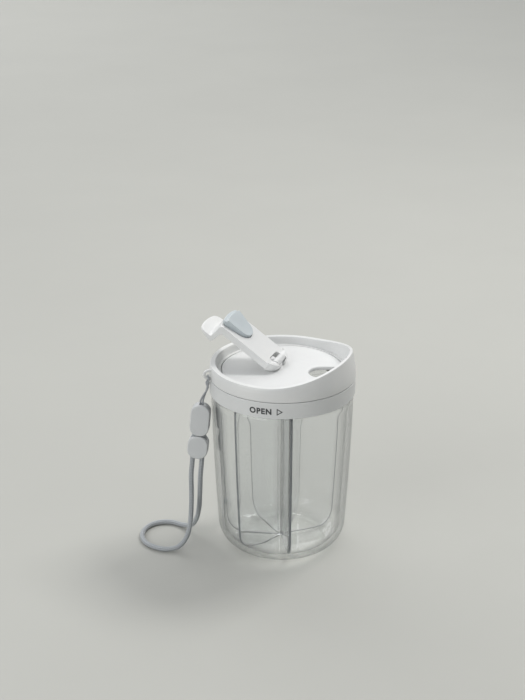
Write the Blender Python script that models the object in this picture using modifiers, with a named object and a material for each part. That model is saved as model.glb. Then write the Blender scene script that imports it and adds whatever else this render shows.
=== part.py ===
# Seven-pitch rotary pill dispenser: a clear cup with a bladed insert, a screw
# collar, and a lid that turns on the collar to bring its covered opening over
# one compartment at a time.  A wrist strap hangs from an eyelet on the lid.
#
# Frame: +Z up, origin at the centre of the flat base, +X to the right of the
# reference view, +Y away from it.  Dimensions below are in millimetres and are
# turned into metres where the meshes are made.
import bpy
import bmesh
import math
from math import sin, cos, pi, radians, sqrt
from mathutils import Vector, Matrix

MM = 0.001

# ---------------------------------------------------------------- dimensions
STEPS = 48                  # sides of the large turned pieces
R_COLLAR = 40.0             # outer radius of collar and lid band
GAP = 0.3                   # air between neighbouring pieces

# cup
R_BASE = 24.0               # flat foot
CORNER_A, CORNER_B = 12.0, 14.0   # rounded lower corner, radial and vertical
R_SHOULDER = 39.1           # outer radius under the collar
Z_SHOULDER = 91.7
WALL = 3.2
FLOOR = 2.0
R_NECK_IN, R_NECK_OUT, Z_NECK = 35.4, 37.0, 98.4
# quick thread between neck and collar
STARTS, LEAD = 3, 12.0
RIDGE_SPAN, RIDGE_Z0, RIDGE_T = 100.0, 94.2, 1.1
LUG_FROM, LUG_SPAN = 5.0, 20.0
LUG_DROP = 1.5
# collar
Z_COL_LO, Z_COL_HI = 92.0, 100.9
R_COL_IN = 38.5
R_FLANGE, Z_FLANGE = 33.6, 99.8
# lid
Z_LID_LO = 101.2
Z_DECK, T_DECK, R_DECK = 104.6, 1.6, 33.3
Z_RIM = 108.5
LIP_H, LIP_HALF = 7.7, 88.0        # raised lip over the opening
AZ_OPEN = -20.0                    # azimuth of opening, lip and closed lever
R_SKIRT_IN, R_SKIRT_OUT = 31.9, 33.2
PITCHES = 7
# divider
AZ_BLADE0 = 20.8
BLADE_SLOTS = (0, 1, 2, 3, 4, 5)   # the sixth pitch is left open as a double bay
BLADE_T = 1.2
# lever
HINGE_U, HINGE_Z = -2.5, 108.3
LEVER_W, LEVER_T0, LEVER_T1 = 22.6, -1.0, 2.9
LEVER_OPEN = 146.0
# strap
AZ_EYE, R_EYE, Z_EYE = 194.0, 40.0, 104.6

# ------------------------------------------------------------------- helpers
for o in list(bpy.data.objects):
    bpy.data.objects.remove(o, do_unlink=True)
for c in list(bpy.data.collections):
    bpy.data.collections.remove(c)

parts = bpy.data.collections.new("pill_dispenser")
cutters = bpy.data.collections.new("cutters")
bpy.context.scene.collection.children.link(parts)
bpy.context.scene.collection.children.link(cutters)


def material(name, rgba, rough, metal=0.0):
    m = bpy.data.materials.new(name)
    m.use_nodes = True
    b = m.node_tree.nodes["Principled BSDF"]
    b.inputs["Base Color"].default_value = (rgba[0], rgba[1], rgba[2], 1.0)
    b.inputs["Roughness"].default_value = rough
    b.inputs["Metallic"].default_value = metal
    b.inputs["Alpha"].default_value = rgba[3] if len(rgba) > 3 else 1.0
    return m


M_CLEAR = material("clear_plastic", (0.90, 0.94, 0.95, 0.35), 0.05)
M_BLADE = material("blade_plastic", (0.86, 0.91, 0.93, 0.45), 0.10)
M_SHELL = material("white_plastic", (0.86, 0.87, 0.86), 0.35)
M_COLLAR = material("collar_plastic", (0.83, 0.85, 0.85), 0.35)
M_SEAL = material("silicone", (0.72, 0.76, 0.78), 0.55)
M_STEEL = material("steel", (0.62, 0.62, 0.63), 0.25, 1.0)
M_CORD = material("cord", (0.78, 0.79, 0.80), 0.85)
M_BEAD = material("bead_plastic", (0.84, 0.85, 0.85), 0.40)


def add_mesh(name, bm, coll=parts, mat=None, smooth=True):
    """Write a bmesh (already in metres) into a new object."""
    bmesh.ops.recalc_face_normals(bm, faces=bm.faces[:])
    me = bpy.data.meshes.new(name)
    bm.to_mesh(me)
    bm.free()
    ob = bpy.data.objects.new(name, me)
    coll.objects.link(ob)
    if mat:
        me.materials.append(mat)
    if smooth:
        me.shade_smooth()
        me.set_sharp_from_angle(angle=radians(35))
    if coll is cutters:
        ob.hide_render = True
        ob.display_type = 'WIRE'
    return ob


def baked(ob):
    """The evaluated mesh of an object as a fresh bmesh in world space."""
    bpy.context.view_layer.update()
    dg = bpy.context.evaluated_depsgraph_get()
    me = bpy.data.meshes.new_from_object(ob.evaluated_get(dg))
    me.transform(ob.matrix_world)
    bm = bmesh.new()
    bm.from_mesh(me)
    bpy.data.meshes.remove(me)
    bmesh.ops.remove_doubles(bm, verts=bm.verts[:], dist=1e-6)
    return bm


def turned(name, prof, steps=STEPS, coll=parts, mat=None):
    """Profile in (radius, height) mm, clockwise seen with radius to the right;
    swept with a Screw modifier and welded."""
    me = bpy.data.meshes.new(name + "_profile")
    vs = [(r * MM, 0, z * MM) for r, z in prof]
    closed = prof[0][0] > 1e-9
    es = [(i, i + 1) for i in range(len(vs) - 1)]
    if closed:
        es.append((len(vs) - 1, 0))
    me.from_pydata(vs, es, [])
    ob = bpy.data.objects.new(name + "_profile", me)
    bpy.context.scene.collection.objects.link(ob)
    s = ob.modifiers.new("turn", 'SCREW')
    s.axis = 'Z'
    s.steps = s.render_steps = steps
    s.use_merge_vertices = True
    s.merge_threshold = 0.000001
    s.use_smooth_shade = True
    bm = baked(ob)
    bpy.data.objects.remove(ob, do_unlink=True)
    bpy.data.meshes.remove(me)
    return add_mesh(name, bm, coll, mat)


def outline(name, pts, thick, coll=cutters, mat=None, frame=None):
    """A flat closed outline (mm) as a filled 2D curve with thickness, baked to
    a mesh.  Local X,Y are the outline's, local Z its thickness."""
    cu = bpy.data.curves.new(name + "_o", 'CURVE')
    cu.dimensions = '2D'
    cu.fill_mode = 'BOTH'
    cu.extrude = thick * 0.5 * MM
    cu.render_resolution_u = 0
    sp = cu.splines.new('POLY')
    sp.points.add(len(pts) - 1)
    for p, (x, y) in zip(sp.points, pts):
        p.co = (x * MM, y * MM, 0, 1)
    sp.use_cyclic_u = True
    ob = bpy.data.objects.new(name + "_o", cu)
    bpy.context.scene.collection.objects.link(ob)
    if frame is not None:
        ob.matrix_world = frame
    bm = baked(ob)
    bpy.data.objects.remove(ob, do_unlink=True)
    bpy.data.curves.remove(cu)
    bmesh.ops.remove_doubles(bm, verts=bm.verts[:], dist=1e-6)
    return add_mesh(name, bm, coll, mat)


def boolean(ob, other, op='DIFFERENCE', keep=False):
    m = ob.modifiers.new(op.lower(), 'BOOLEAN')
    m.operation = op
    m.solver = 'EXACT'
    m.object = other
    bm = baked(ob)
    bmesh.ops.dissolve_degenerate(bm, dist=1e-7, edges=bm.edges[:])
    bmesh.ops.recalc_face_normals(bm, faces=bm.faces[:])
    mats = [x for x in ob.data.materials]
    ob.modifiers.remove(m)
    bm.to_mesh(ob.data)
    bm.free()
    ob.matrix_world = Matrix.Identity(4)
    ob.data.materials.clear()
    for x in mats:
        ob.data.materials.append(x)
    for p in ob.data.polygons:
        p.material_index = 0
    ob.data.shade_smooth()
    ob.data.set_sharp_from_angle(angle=radians(35))
    if not keep:
        bpy.data.objects.remove(other, do_unlink=True)
    return ob


def cylinder(name, r, length, sides, mat4, coll=cutters, mat=None):
    bm = bmesh.new()
    bmesh.ops.create_cone(bm, cap_ends=True, segments=sides, radius1=r * MM,
                          radius2=r * MM, depth=length * MM, matrix=mat4)
    return add_mesh(name, bm, coll, mat)


def block(name, lo, hi, mat4=None, coll=cutters, mat=None):
    c = Vector([(a + b) * 0.5 * MM for a, b in zip(lo, hi)])
    s = [(b - a) * MM for a, b in zip(lo, hi)]
    bm = bmesh.new()
    m = Matrix.Translation(c) @ Matrix.Diagonal((s[0], s[1], s[2], 1))
    if mat4 is not None:
        m = mat4 @ m
    bmesh.ops.create_cube(bm, size=1.0, matrix=m)
    return add_mesh(name, bm, coll, mat)


def helix_rib(name, z0, span, r0, r1, thick, az0, seg_deg=5.0):
    """A short rib that climbs with the thread's lead: a small square section
    carried round the axis by a Screw-like sweep, closed at both ends."""
    n = max(2, int(round(span / seg_deg)))
    bm = bmesh.new()
    half = thick / 2
    h_in, h_out = half + 0.15, half - 0.15
    sec = [(r0, -h_in), (r1, -h_out), (r1, h_out), (r0, h_in)]
    first = [bm.verts.new((r * cos(radians(az0)) * MM, r * sin(radians(az0)) * MM,
                           (z0 + dz) * MM)) for r, dz in sec]
    face = bm.faces.new(first)
    step = radians(span / n)
    rise = LEAD * (span / n) / 360.0 * MM
    for i in range(n):
        out = bmesh.ops.extrude_face_region(bm, geom=[face])
        new = [g for g in out["geom"] if isinstance(g, bmesh.types.BMVert)]
        bmesh.ops.transform(bm, verts=new,
                            matrix=Matrix.Translation((0, 0, rise)) @ Matrix.Rotation(step, 4, 'Z'))
        nf = [g for g in out["geom"] if isinstance(g, bmesh.types.BMFace)][0]
        if i > 0:
            bm.faces.remove(face) if face.is_valid else None
        face = nf
    return add_mesh(name, bm, cutters)


def polar(az, r=1.0):
    return Vector((r * cos(radians(az)), r * sin(radians(az)), 0))


# ----------------------------------------------------------------- cup body
def outer_r(z):
    """Outer radius of the cup at height z."""
    if z <= CORNER_B:
        k = (CORNER_B - z) / CORNER_B
        return R_BASE + CORNER_A * sqrt(max(0.0, 1 - k * k))
    t = (z - CORNER_B) / (90.0 - CORNER_B)
    return R_BASE + CORNER_A + 3.1 * (1 - max(0.0, 1 - t) ** 1.5)


def inner_r(z):
    """Inner radius of the cup at height z: the outer one moved in by the wall,
    with its own, tighter lower corner."""
    ca, cb = 11.0, 12.0
    zf = z - FLOOR
    if zf <= cb:
        k = (cb - max(zf, 0.0)) / cb
        r_top = outer_r(FLOOR + cb) - WALL
        return r_top - ca + ca * sqrt(max(0.0, 1 - k * k))
    return outer_r(z) - WALL


CORNER_K = [0.0, 0.04, 0.14, 0.30, 0.52, 0.76, 1.0]
WALL_Z = [26.0, 46.0, 70.0]

prof = [(0.0, FLOOR), (inner_r(FLOOR) - 0.02, FLOOR)]
prof += [(inner_r(FLOOR + 12.0 * k), FLOOR + 12.0 * k) for k in CORNER_K[1:]]
prof += [(inner_r(z), z) for z in WALL_Z]
prof += [(inner_r(88.5), 88.5), (R_NECK_IN, 91.0), (R_NECK_IN, Z_NECK - 0.3), (R_NECK_IN + 0.3, Z_NECK),
         (R_NECK_OUT - 0.3, Z_NECK), (R_NECK_OUT, Z_NECK - 0.3), (R_NECK_OUT, Z_SHOULDER),
         (R_SHOULDER - 0.4, Z_SHOULDER), (R_SHOULDER, Z_SHOULDER - 0.5)]
prof += [(outer_r(z), z) for z in reversed(WALL_Z)]
prof += [(outer_r(CORNER_B * k), CORNER_B * k) for k in reversed(CORNER_K[1:])]
prof += [(R_BASE, 0.0), (0.0, 0.0)]
cup = turned("cup", prof, mat=M_CLEAR)
for i in range(STARTS):
    rib = helix_rib("rib", RIDGE_Z0, RIDGE_SPAN, R_NECK_OUT - 0.4, 38.05, RIDGE_T, i * 360.0 / STARTS)
    boolean(cup, rib, 'UNION')

# ------------------------------------------------------------ divider insert
def blade_outline():
    """Half section of one blade: hub side, top step under the lid ring, outer
    edge along the cup wall, rounded lower corner."""
    pts = [(0.0, FLOOR + GAP), (inner_r(FLOOR) - 0.5, FLOOR + GAP)]
    for k in CORNER_K[1:]:
        z = FLOOR + 12.0 * k
        pts.append((inner_r(z) - 0.35, z + 0.25))
    for z in (26.0, 46.0, 68.0, 86.0):
        pts.append((inner_r(z) - 0.35, z))
    pts += [(R_NECK_IN - 0.35, 91.0), (R_NECK_IN - 0.35, 97.2), (R_NECK_IN - 0.75, 97.6),
            (31.4, 97.6), (31.4, 102.1), (31.1, 102.4), (0.0, 102.4)]
    return pts


divider = cylinder("divider_insert", 1.5, 102.4 - FLOOR - GAP, 12,
                   Matrix.Translation((0, 0, (102.4 + FLOOR + GAP) / 2 * MM)), parts, M_BLADE)
for s in BLADE_SLOTS:
    az = AZ_BLADE0 + s * 360.0 / PITCHES
    d = polar(az)
    n = polar(az - 90.0)
    fr = Matrix(((d.x, 0, n.x, 0), (d.y, 0, n.y, 0), (0, 1, 0, 0), (0, 0, 0, 1)))
    boolean(divider, outline("blade", blade_outline(), BLADE_T, frame=fr), 'UNION')

# ----------------------------------------------------------------- cup seal
turned("cup_seal", [(36.9, 99.5), (36.9, 98.7), (35.5, 98.7), (35.5, 99.5)], steps=STEPS, mat=M_SEAL)

# ------------------------------------------------------------- screw collar
collar = turned("screw_collar", [
    (R_COLLAR - 0.35, Z_COL_HI), (R_COLLAR, Z_COL_HI - 0.35), (R_COLLAR, Z_COL_LO + 0.3),
    (R_COLLAR - 0.3, Z_COL_LO), (R_COL_IN, Z_COL_LO), (R_COL_IN, Z_FLANGE),
    (R_FLANGE, Z_FLANGE), (R_FLANGE, Z_COL_HI)], mat=M_COLLAR)
for i in range(STARTS):
    z = RIDGE_Z0 + LEAD * LUG_FROM / 360.0 - LUG_DROP
    lug = helix_rib("lug", z, LUG_SPAN, R_COL_IN + 0.4, 37.35, RIDGE_T, i * 360.0 / STARTS + LUG_FROM)
    boolean(collar, lug, 'UNION')
R_CLICK = 36.9
for i in range(PITCHES):
    az = 160.0 + i * 360.0 / PITCHES
    m = Matrix.Translation(polar(az, R_CLICK * MM) + Vector((0, 0, (Z_COL_HI + 1.7) * MM))) \
        @ Matrix.Rotation(radians(az), 4, 'Z') @ Matrix.Rotation(radians(90), 4, 'Y')
    boolean(collar, cylinder("notch", 2.2, 2.4, 16, m), 'DIFFERENCE')

# ---------------------------------------------------------------- lid shell
shell_prof = [
    (39.05, Z_RIM), (39.3, Z_RIM - 0.25), (39.65, Z_RIM - 1.3), (39.9, Z_RIM - 2.7), (40.0, 104.7),
    (40.0, Z_LID_LO + 0.25), (39.8, Z_LID_LO), (38.6, Z_LID_LO),
    (38.6, 106.5), (37.7, 106.8), (36.6, 103.6), (35.4, 103.3), (35.4, Z_LID_LO),
    (35.0, Z_LID_LO), (35.0, 102.1), (33.5, 102.1), (33.5, Z_LID_LO), (R_SKIRT_OUT, Z_LID_LO),
    (R_SKIRT_OUT, Z_FLANGE), (R_SKIRT_IN, Z_FLANGE), (R_SKIRT_IN, 102.7), (33.6, 102.7),
    (33.6, 104.6), (35.25, 104.65), (35.45, 105.3), (36.05, 107.5), (36.35, Z_RIM - 0.2), (36.7, Z_RIM)]
shell = turned("lid_shell", shell_prof, steps=60, mat=M_SHELL)


def lip(az):
    """Height of the raised lip above the rim at an azimuth."""
    d = (az - AZ_OPEN + 180.0) % 360.0 - 180.0
    if abs(d) >= LIP_HALF:
        return 0.0
    return LIP_H * cos(radians(d * 90.0 / LIP_HALF)) ** 2


Z_LIFT0 = 104.95
for v in shell.data.vertices:
    z = v.co.z / MM
    if z > Z_LIFT0:
        az = math.degrees(math.atan2(v.co.y, v.co.x))
        k = (z - Z_LIFT0) / (Z_RIM - Z_LIFT0)
        v.co.z += lip(az) * k * MM
        # the lip leans in a little as it rises, as the band's top edge does
        r = sqrt(v.co.x ** 2 + v.co.y ** 2)
        if r > 37.5 * MM:
            f = 1.0 - 0.032 * k * lip(az) / LIP_H
            v.co.x *= f
            v.co.y *= f

# eyelet: a bow of round section standing out of the band
cu = bpy.data.curves.new("eyelet", 'CURVE')
cu.dimensions = '3D'
cu.bevel_depth = 0.78 * MM
cu.bevel_resolution = 3
cu.use_fill_caps = True
cu.render_resolution_u = 0
sp = cu.splines.new('POLY')
N = 13
sp.points.add(N - 1)
ed = polar(AZ_EYE)
for i in range(N):
    a = radians(-90.0 + 180.0 * i / (N - 1))
    r = R_EYE - 0.7 + (3.6 + 0.7) * max(0.0, cos(a)) ** 0.8
    z = Z_EYE + 2.45 * sin(a)
    p = ed * (r * MM)
    sp.points[i].co = (p.x, p.y, z * MM, 1)
eye = bpy.data.objects.new("eyelet_curve", cu)
bpy.context.scene.collection.objects.link(eye)
bm = baked(eye)
bpy.data.objects.remove(eye, do_unlink=True)
eye = add_mesh("eyelet_mesh", bm, cutters)
boolean(shell, eye, 'UNION')

# ----------------------------------------------------------------- lid deck
U = polar(AZ_OPEN)
W = polar(AZ_OPEN + 90.0)
# frame with X along the closed lever, Y across it
M_UW = Matrix(((U.x, W.x, 0, 0), (U.y, W.y, 0, 0), (0, 0, 1, 0), (0, 0, 0, 1)))


def mouth_outline(n=11, c=22.9, off=1.3, r=7.6, far=24.0, near=14.0, w_far=11.0, u_out=37.0):
    """The deck's opening: a round inner end about (c, off), sides opening by
    far and near degrees, the far one held inside the lever's width."""
    arc = [(c + r * cos(a), off + r * sin(a)) for a in
           [radians(90.0 + far + (180.0 - far - near) * i / (n - 1)) for i in range(n)]]
    u1 = arc[0][0] + (w_far - arc[0][1]) / math.tan(radians(far))
    kink = [(u1 + 1.2, w_far), (u1 - 0.3, w_far - 0.35)]
    w_near = arc[-1][1] - (u_out - arc[-1][0]) * math.tan(radians(near))
    return [(u_out, w_far)] + kink + arc + [(u_out, w_near)]


deck = turned("lid_deck", [(0.0, Z_DECK), (R_DECK - 0.2, Z_DECK), (R_DECK, Z_DECK - 0.2),
                           (R_DECK, Z_DECK - T_DECK), (0.0, Z_DECK - T_DECK)], mat=M_SHELL)
# one compartment wide, with a round inner end
mouth = outline("mouth", mouth_outline(), 6.0,
                frame=Matrix.Translation((0, 0, (Z_DECK - 0.8) * MM)) @ M_UW)
boolean(deck, mouth, 'DIFFERENCE')
# hinge lug: a knuckle across the lever's window on a narrow neck, which passes
# through the slot in the lever's heel as the lever turns
R_LUG, LUG_W, NECK_W, NECK_T = 2.15, 10.8, 3.8, 1.75
lug_pts = [(HINGE_U - NECK_T, HINGE_Z), (HINGE_U - NECK_T, Z_DECK + 0.9), (HINGE_U - NECK_T - 0.8, Z_DECK - 0.5),
           (HINGE_U + NECK_T + 0.8, Z_DECK - 0.5), (HINGE_U + NECK_T, Z_DECK + 0.9), (HINGE_U + NECK_T, HINGE_Z)]
# section plane: X along U, Y up, thickness along -W
M_SEC = Matrix(((U.x, 0, -W.x, 0), (U.y, 0, -W.y, 0), (0, 1, 0, 0), (0, 0, 0, 1)))
boolean(deck, outline("lug_neck", lug_pts, NECK_W, frame=M_SEC), 'UNION')
HINGE = U * (HINGE_U * MM) + Vector((0, 0, HINGE_Z * MM))
M_PIN = Matrix.Translation(HINGE) @ Matrix(((U.x, 0, W.x, 0), (U.y, 0, W.y, 0), (0, 1, 0, 0), (0, 0, 0, 1)))
boolean(deck, cylinder("lug_head", R_LUG, LUG_W, 24, M_PIN), 'UNION')
boolean(deck, cylinder("pin_hole", 1.0, 14.0, 16, M_PIN), 'DIFFERENCE')

# ----------------------------------------------------------- retaining ring
turned("retaining_ring", [(35.0, 98.4), (34.6, 98.0), (R_SKIRT_IN, 98.0), (R_SKIRT_IN, 99.5), (35.0, 99.5)],
       steps=STEPS, mat=M_SHELL)

# -------------------------------------------------------------- rotary seal
turned("rotary_seal", [(34.7, 101.5), (34.5, Z_LID_LO), (34.0, Z_LID_LO), (33.8, 101.5), (34.0, 101.8), (34.5, 101.8)],
       steps=STEPS, mat=M_SEAL)

# -------------------------------------------------------------- click spring
# bent leaf in the channel under the lid band; its nose rides over the notches
leaf = [(-5.4, 102.95), (-4.3, 102.95), (-1.7, 102.1), (-0.8, 101.62), (0.0, 101.55), (0.8, 101.62), (1.7, 102.1),
        (4.3, 102.95), (5.4, 102.95), (5.4, 102.6), (4.4, 102.6), (1.9, 101.75), (0.9, 101.25), (0.0, Z_LID_LO),
        (-0.9, 101.25), (-1.9, 101.75), (-4.4, 102.6), (-5.4, 102.6)]
t = polar(160.0 + 90.0)
rr = polar(160.0)
M_LEAF = Matrix.Translation(rr * (R_CLICK * MM)) @ Matrix(((t.x, 0, rr.x, 0), (t.y, 0, rr.y, 0), (0, 1, 0, 0), (0, 0, 0, 1)))
outline("click_spring", leaf, 1.8, coll=parts, mat=M_STEEL, frame=M_LEAF)

# -------------------------------------------------------------------- lever
# Built closed in its own frame: S along the lever, T up, W across; then bent
# to follow the round lip, and turned open about its pin.
R_ARC = 36.0


def lever_shift(s, w):
    """Outer end follows a circle round the lid's axis; the heel has rounded
    corners in plan, and so has the tab's end."""
    out = 0.0
    k = min(1.0, max(0.0, (s - 27.0) / 7.0))
    out += k * (sqrt(R_ARC ** 2 - w * w) - R_ARC)
    hw = LEVER_W / 2
    rc = 6.5
    a = abs(w) - (hw - rc)
    if a > 0 and s < 2.0:
        out += (rc - sqrt(max(0.0, rc * rc - a * a))) * min(1.0, (2.0 - s) / 5.0)
    rt = 3.0
    a = abs(w) - (hw - rt)
    if a > 0 and s > 40.0:
        out -= (rt - sqrt(max(0.0, rt * rt - a * a))) * min(1.0, (s - 40.0) / 4.0)
    return out


R_HEEL = 3.3                # round heel, clear of the deck as it turns
heel = [(R_HEEL * cos(radians(a)), R_HEEL * sin(radians(a))) for a in (118.5, 137, 156, 175, 195, 215)]
lever_prof = [(33.6, LEVER_T1), (34.5, 3.5), (35.2, 4.8), (35.9, 8.2), (36.3, 9.8), (37.0, 10.7), (38.2, 10.85),
              (41.4, 10.4), (44.2, 9.75), (45.1, 9.35), (45.4, 8.85), (45.1, 8.4), (44.4, 8.2), (39.3, 8.2),
              (38.6, 7.95), (38.25, 7.2), (37.4, 0.8), (36.9, -0.5), (35.9, LEVER_T0), (2.0, LEVER_T0),
              (0.2, -1.9)]
lever_prof += list(reversed(heel))
lever_prof.append((8.0, LEVER_T1))
slices = [-11.3, -10.85, -10.0, -8.5, -5.8, -2.9, 0.0, 2.9, 5.8, 8.5, 10.0, 10.85, 11.3]


def lever_point(s, t, w):
    return Vector((s * MM, w * MM, t * MM))


bm = bmesh.new()
ring0 = [bm.verts.new(lever_point(s, t, slices[0])) for s, t in lever_prof]
face = bm.faces.new(ring0)
for i in range(1, len(slices)):
    out = bmesh.ops.extrude_face_region(bm, geom=[face])
    new = [g for g in out["geom"] if isinstance(g, bmesh.types.BMVert)]
    bmesh.ops.translate(bm, verts=new, vec=(0, (slices[i] - slices[i - 1]) * MM, 0))
    nf = [g for g in out["geom"] if isinstance(g, bmesh.types.BMFace)][0]
    if i > 1 and face.is_valid:
        bm.faces.remove(face)
    face = nf
for v in bm.verts:
    v.co.x += lever_shift(v.co.x / MM, v.co.y / MM) * MM
lever = add_mesh("lever", bm, parts, M_SHELL)
# on the underside: pocket for the plug's foot; at the heel: window for the
# lug's knuckle, slot for its neck, blind holes for the pin


def plug_outline(grow=0.0, r_out=33.0, n=11, c=23.7, r=6.2, half_deg=13.5):
    """Narrow wedge with a round inner end and an outer end that follows the
    lid's round edge.  Coordinates along and across the lever from the lid's axis."""
    half = radians(half_deg)
    r += grow
    r_out += grow
    inner = [(c + r * cos(a), r * sin(a)) for a in
             [pi / 2 + half + (pi / 2 - half) * i / (n - 1) for i in range(n)]]
    x0, y0 = inner[0]
    # where the straight side meets the outer circle, less a small corner
    x1 = x0
    while math.hypot(x1, y0 + (x1 - x0) * math.tan(half)) < r_out - 1.0:
        x1 += 0.05
    y1 = y0 + (x1 - x0) * math.tan(half)
    outer = [(sqrt(r_out ** 2 - w * w), w) for w in (0.0, 2.6, 5.2, y1 - 0.7)]
    top = outer + [(x1 + 0.65, y1 + 0.0), (x1, y1)] + inner
    return top + [(x, -y) for x, y in reversed(top[1:-1])]


# pocket in the lever's plate for the plug's foot
POCKET_T = 1.5
boolean(lever, outline("pocket", [(x - HINGE_U, y) for x, y in plug_outline(GAP)], 3.0,
                       frame=Matrix.Translation((0, 0, (POCKET_T - 1.5) * MM))), 'DIFFERENCE')
boolean(lever, block("window", (-R_LUG - GAP, -LUG_W / 2 - GAP, -4), (4.3, LUG_W / 2 + GAP, 6)), 'DIFFERENCE')
boolean(lever, block("neck_slot", (-6, -NECK_W / 2 - GAP, -4), (0, NECK_W / 2 + GAP, 6)), 'DIFFERENCE')
m = Matrix.Rotation(radians(90), 4, 'X')
boolean(lever, cylinder("lever_pin_hole", 1.0, 15.8, 16, m), 'DIFFERENCE')

# silicone plug: a foot in the pocket, a flange that reaches over the lid's
# ledge, and a lower part that enters the opening; its face slopes down outwards
FOOT_T, FLANGE_T = LEVER_T0 - GAP, -3.3
plug = outline("plug_seal", [(x - HINGE_U, y) for x, y in plug_outline(r_out=34.8)], 8.2, coll=parts, mat=M_SEAL,
               frame=Matrix.Translation((0, 0, (POCKET_T - GAP - 4.1) * MM)))
FACE_S, FACE_T, FACE_SLOPE = 28.0, -3.75, 8.4
m = Matrix.Translation((FACE_S * MM, 0, FACE_T * MM)) @ Matrix.Rotation(radians(FACE_SLOPE), 4, 'Y')
boolean(plug, block("face_cut", (-20, -12, -9), (20, 12, 0), m), 'DIFFERENCE')
beyond = [(33.0 * cos(radians(a)) - HINGE_U, 33.0 * sin(radians(a))) for a in range(20, -21, -4)]
beyond += [(41.0, beyond[-1][1]), (41.0, beyond[0][1])]
boolean(plug, outline("foot_cut", beyond, 4.0, frame=Matrix.Translation((0, 0, (FOOT_T + 2.0) * MM))), 'DIFFERENCE')
boolean(plug, outline("step_cut", beyond, 4.0, frame=Matrix.Translation((0, 0, (FLANGE_T - 2.0) * MM))), 'DIFFERENCE')

# place the closed lever and its plug, then open them about the pin
M_CLOSED = Matrix.Translation(HINGE) @ M_UW
M_FLIP = M_CLOSED @ Matrix.Rotation(radians(-LEVER_OPEN), 4, 'Y')
hinge_empty = bpy.data.objects.new("lever_axis", None)
parts.objects.link(hinge_empty)
hinge_empty.matrix_world = M_FLIP
for ob in (lever, plug):
    ob.parent = hinge_empty

cylinder("hinge_pin", 0.9, 15.2, 16, M_PIN, parts, M_STEEL)

# -------------------------------------------------------------------- strap
# straight run of the strap from the top of the long bead to below the slider
P_TOP = Vector((-43.9, -10.2, 87.3))
P_LOW = Vector((-47.0, -9.6, 53.0))
D = (P_LOW - P_TOP).normalized()            # down the strap
E = Vector((1, 0, 0)) - D * D.x
E.normalize()                               # across it, to the right
E = Matrix.Rotation(radians(6.0), 3, D) @ E
F = D.cross(E)


def on_strap(s, e=0.0, f=0.0):
    """Point at s mm below the long bead's top, e across, f out of the face."""
    return P_TOP + D * s + E * e + F * f


def smooth_path(pts, step):
    """Catmull-Rom through the route's points, read at even steps."""
    P = [pts[0] * 2 - pts[1]] + list(pts) + [pts[-1] * 2 - pts[-2]]
    fine = []
    for i in range(1, len(P) - 2):
        a, b, c, d = P[i - 1], P[i], P[i + 1], P[i + 2]
        t0, t1 = 0.0, (b - a).length ** 0.5
        t2 = t1 + (c - b).length ** 0.5
        t3 = t2 + (d - c).length ** 0.5
        for k in range(24):
            t = t1 + (t2 - t1) * k / 24
            A1 = a * ((t1 - t) / (t1 - t0)) + b * ((t - t0) / (t1 - t0))
            A2 = b * ((t2 - t) / (t2 - t1)) + c * ((t - t1) / (t2 - t1))
            A3 = c * ((t3 - t) / (t3 - t2)) + d * ((t - t2) / (t3 - t2))
            B1 = A1 * ((t2 - t) / (t2 - t0)) + A2 * ((t - t0) / (t2 - t0))
            B2 = A2 * ((t3 - t) / (t3 - t1)) + A3 * ((t - t1) / (t3 - t1))
            fine.append(B1 * ((t2 - t) / (t2 - t1)) + B2 * ((t - t1) / (t2 - t1)))
    fine.append(P[-2])
    acc = [0.0]
    for i in range(1, len(fine)):
        acc.append(acc[-1] + (fine[i] - fine[i - 1]).length)
    n = max(4, int(round(acc[-1] / step)))
    out, j = [], 0
    for i in range(n + 1):
        s = acc[-1] * i / n
        while j < len(acc) - 2 and acc[j + 1] < s:
            j += 1
        k = (s - acc[j]) / max(1e-9, acc[j + 1] - acc[j])
        out.append(fine[j].lerp(fine[j + 1], k))
    return out


def tube(name, pts, dia, mat, res=2):
    cu = bpy.data.curves.new(name, 'CURVE')
    cu.dimensions = '3D'
    cu.bevel_depth = dia / 2 * MM
    cu.bevel_resolution = res
    cu.use_fill_caps = True
    cu.render_resolution_u = 0
    sp = cu.splines.new('POLY')
    sp.points.add(len(pts) - 1)
    for p, q in zip(sp.points, pts):
        p.co = (q.x * MM, q.y * MM, q.z * MM, 1)
    cu.materials.append(mat)
    ob = bpy.data.objects.new(name, cu)
    parts.objects.link(ob)
    return ob


def bead(name, s0, s1, width, thick, round_face, round_edge):
    """Pillow-shaped bead between two stations on the strap."""
    bm = bmesh.new()
    L = s1 - s0
    bmesh.ops.create_cube(bm, size=1.0, matrix=Matrix.Diagonal((width, thick, L, 1)))
    ed = [e for e in bm.edges if abs((e.verts[0].co - e.verts[1].co).normalized().y) > 0.9]
    bmesh.ops.bevel(bm, geom=ed, offset=round_face, segments=4, profile=0.5, affect='EDGES')
    ed = [e for e in bm.edges if abs(e.verts[0].co.y - e.verts[1].co.y) < 1e-4]
    bmesh.ops.bevel(bm, geom=ed, offset=round_edge, segments=2, profile=0.5, affect='EDGES')
    c = on_strap((s0 + s1) / 2)
    up = -D
    m = Matrix(((E.x, F.x, up.x, c.x), (E.y, F.y, up.y, c.y), (E.z, F.z, up.z, c.z), (0, 0, 0, 1)))
    bmesh.ops.transform(bm, verts=bm.verts[:], matrix=Matrix.Diagonal((MM, MM, MM, 1)) @ m)
    return add_mesh(name, bm, parts, M_BEAD)


def bore(ob, s0, s1, e, r, sides=12):
    a, b = on_strap(s0, e), on_strap(s1, e)
    d = (b - a)
    m = Matrix.Translation((a + b) * 0.5 * MM) @ d.to_track_quat('Z', 'Y').to_matrix().to_4x4()
    boolean(ob, cylinder("bore", r, d.length, sides, m), 'DIFFERENCE')


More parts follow.
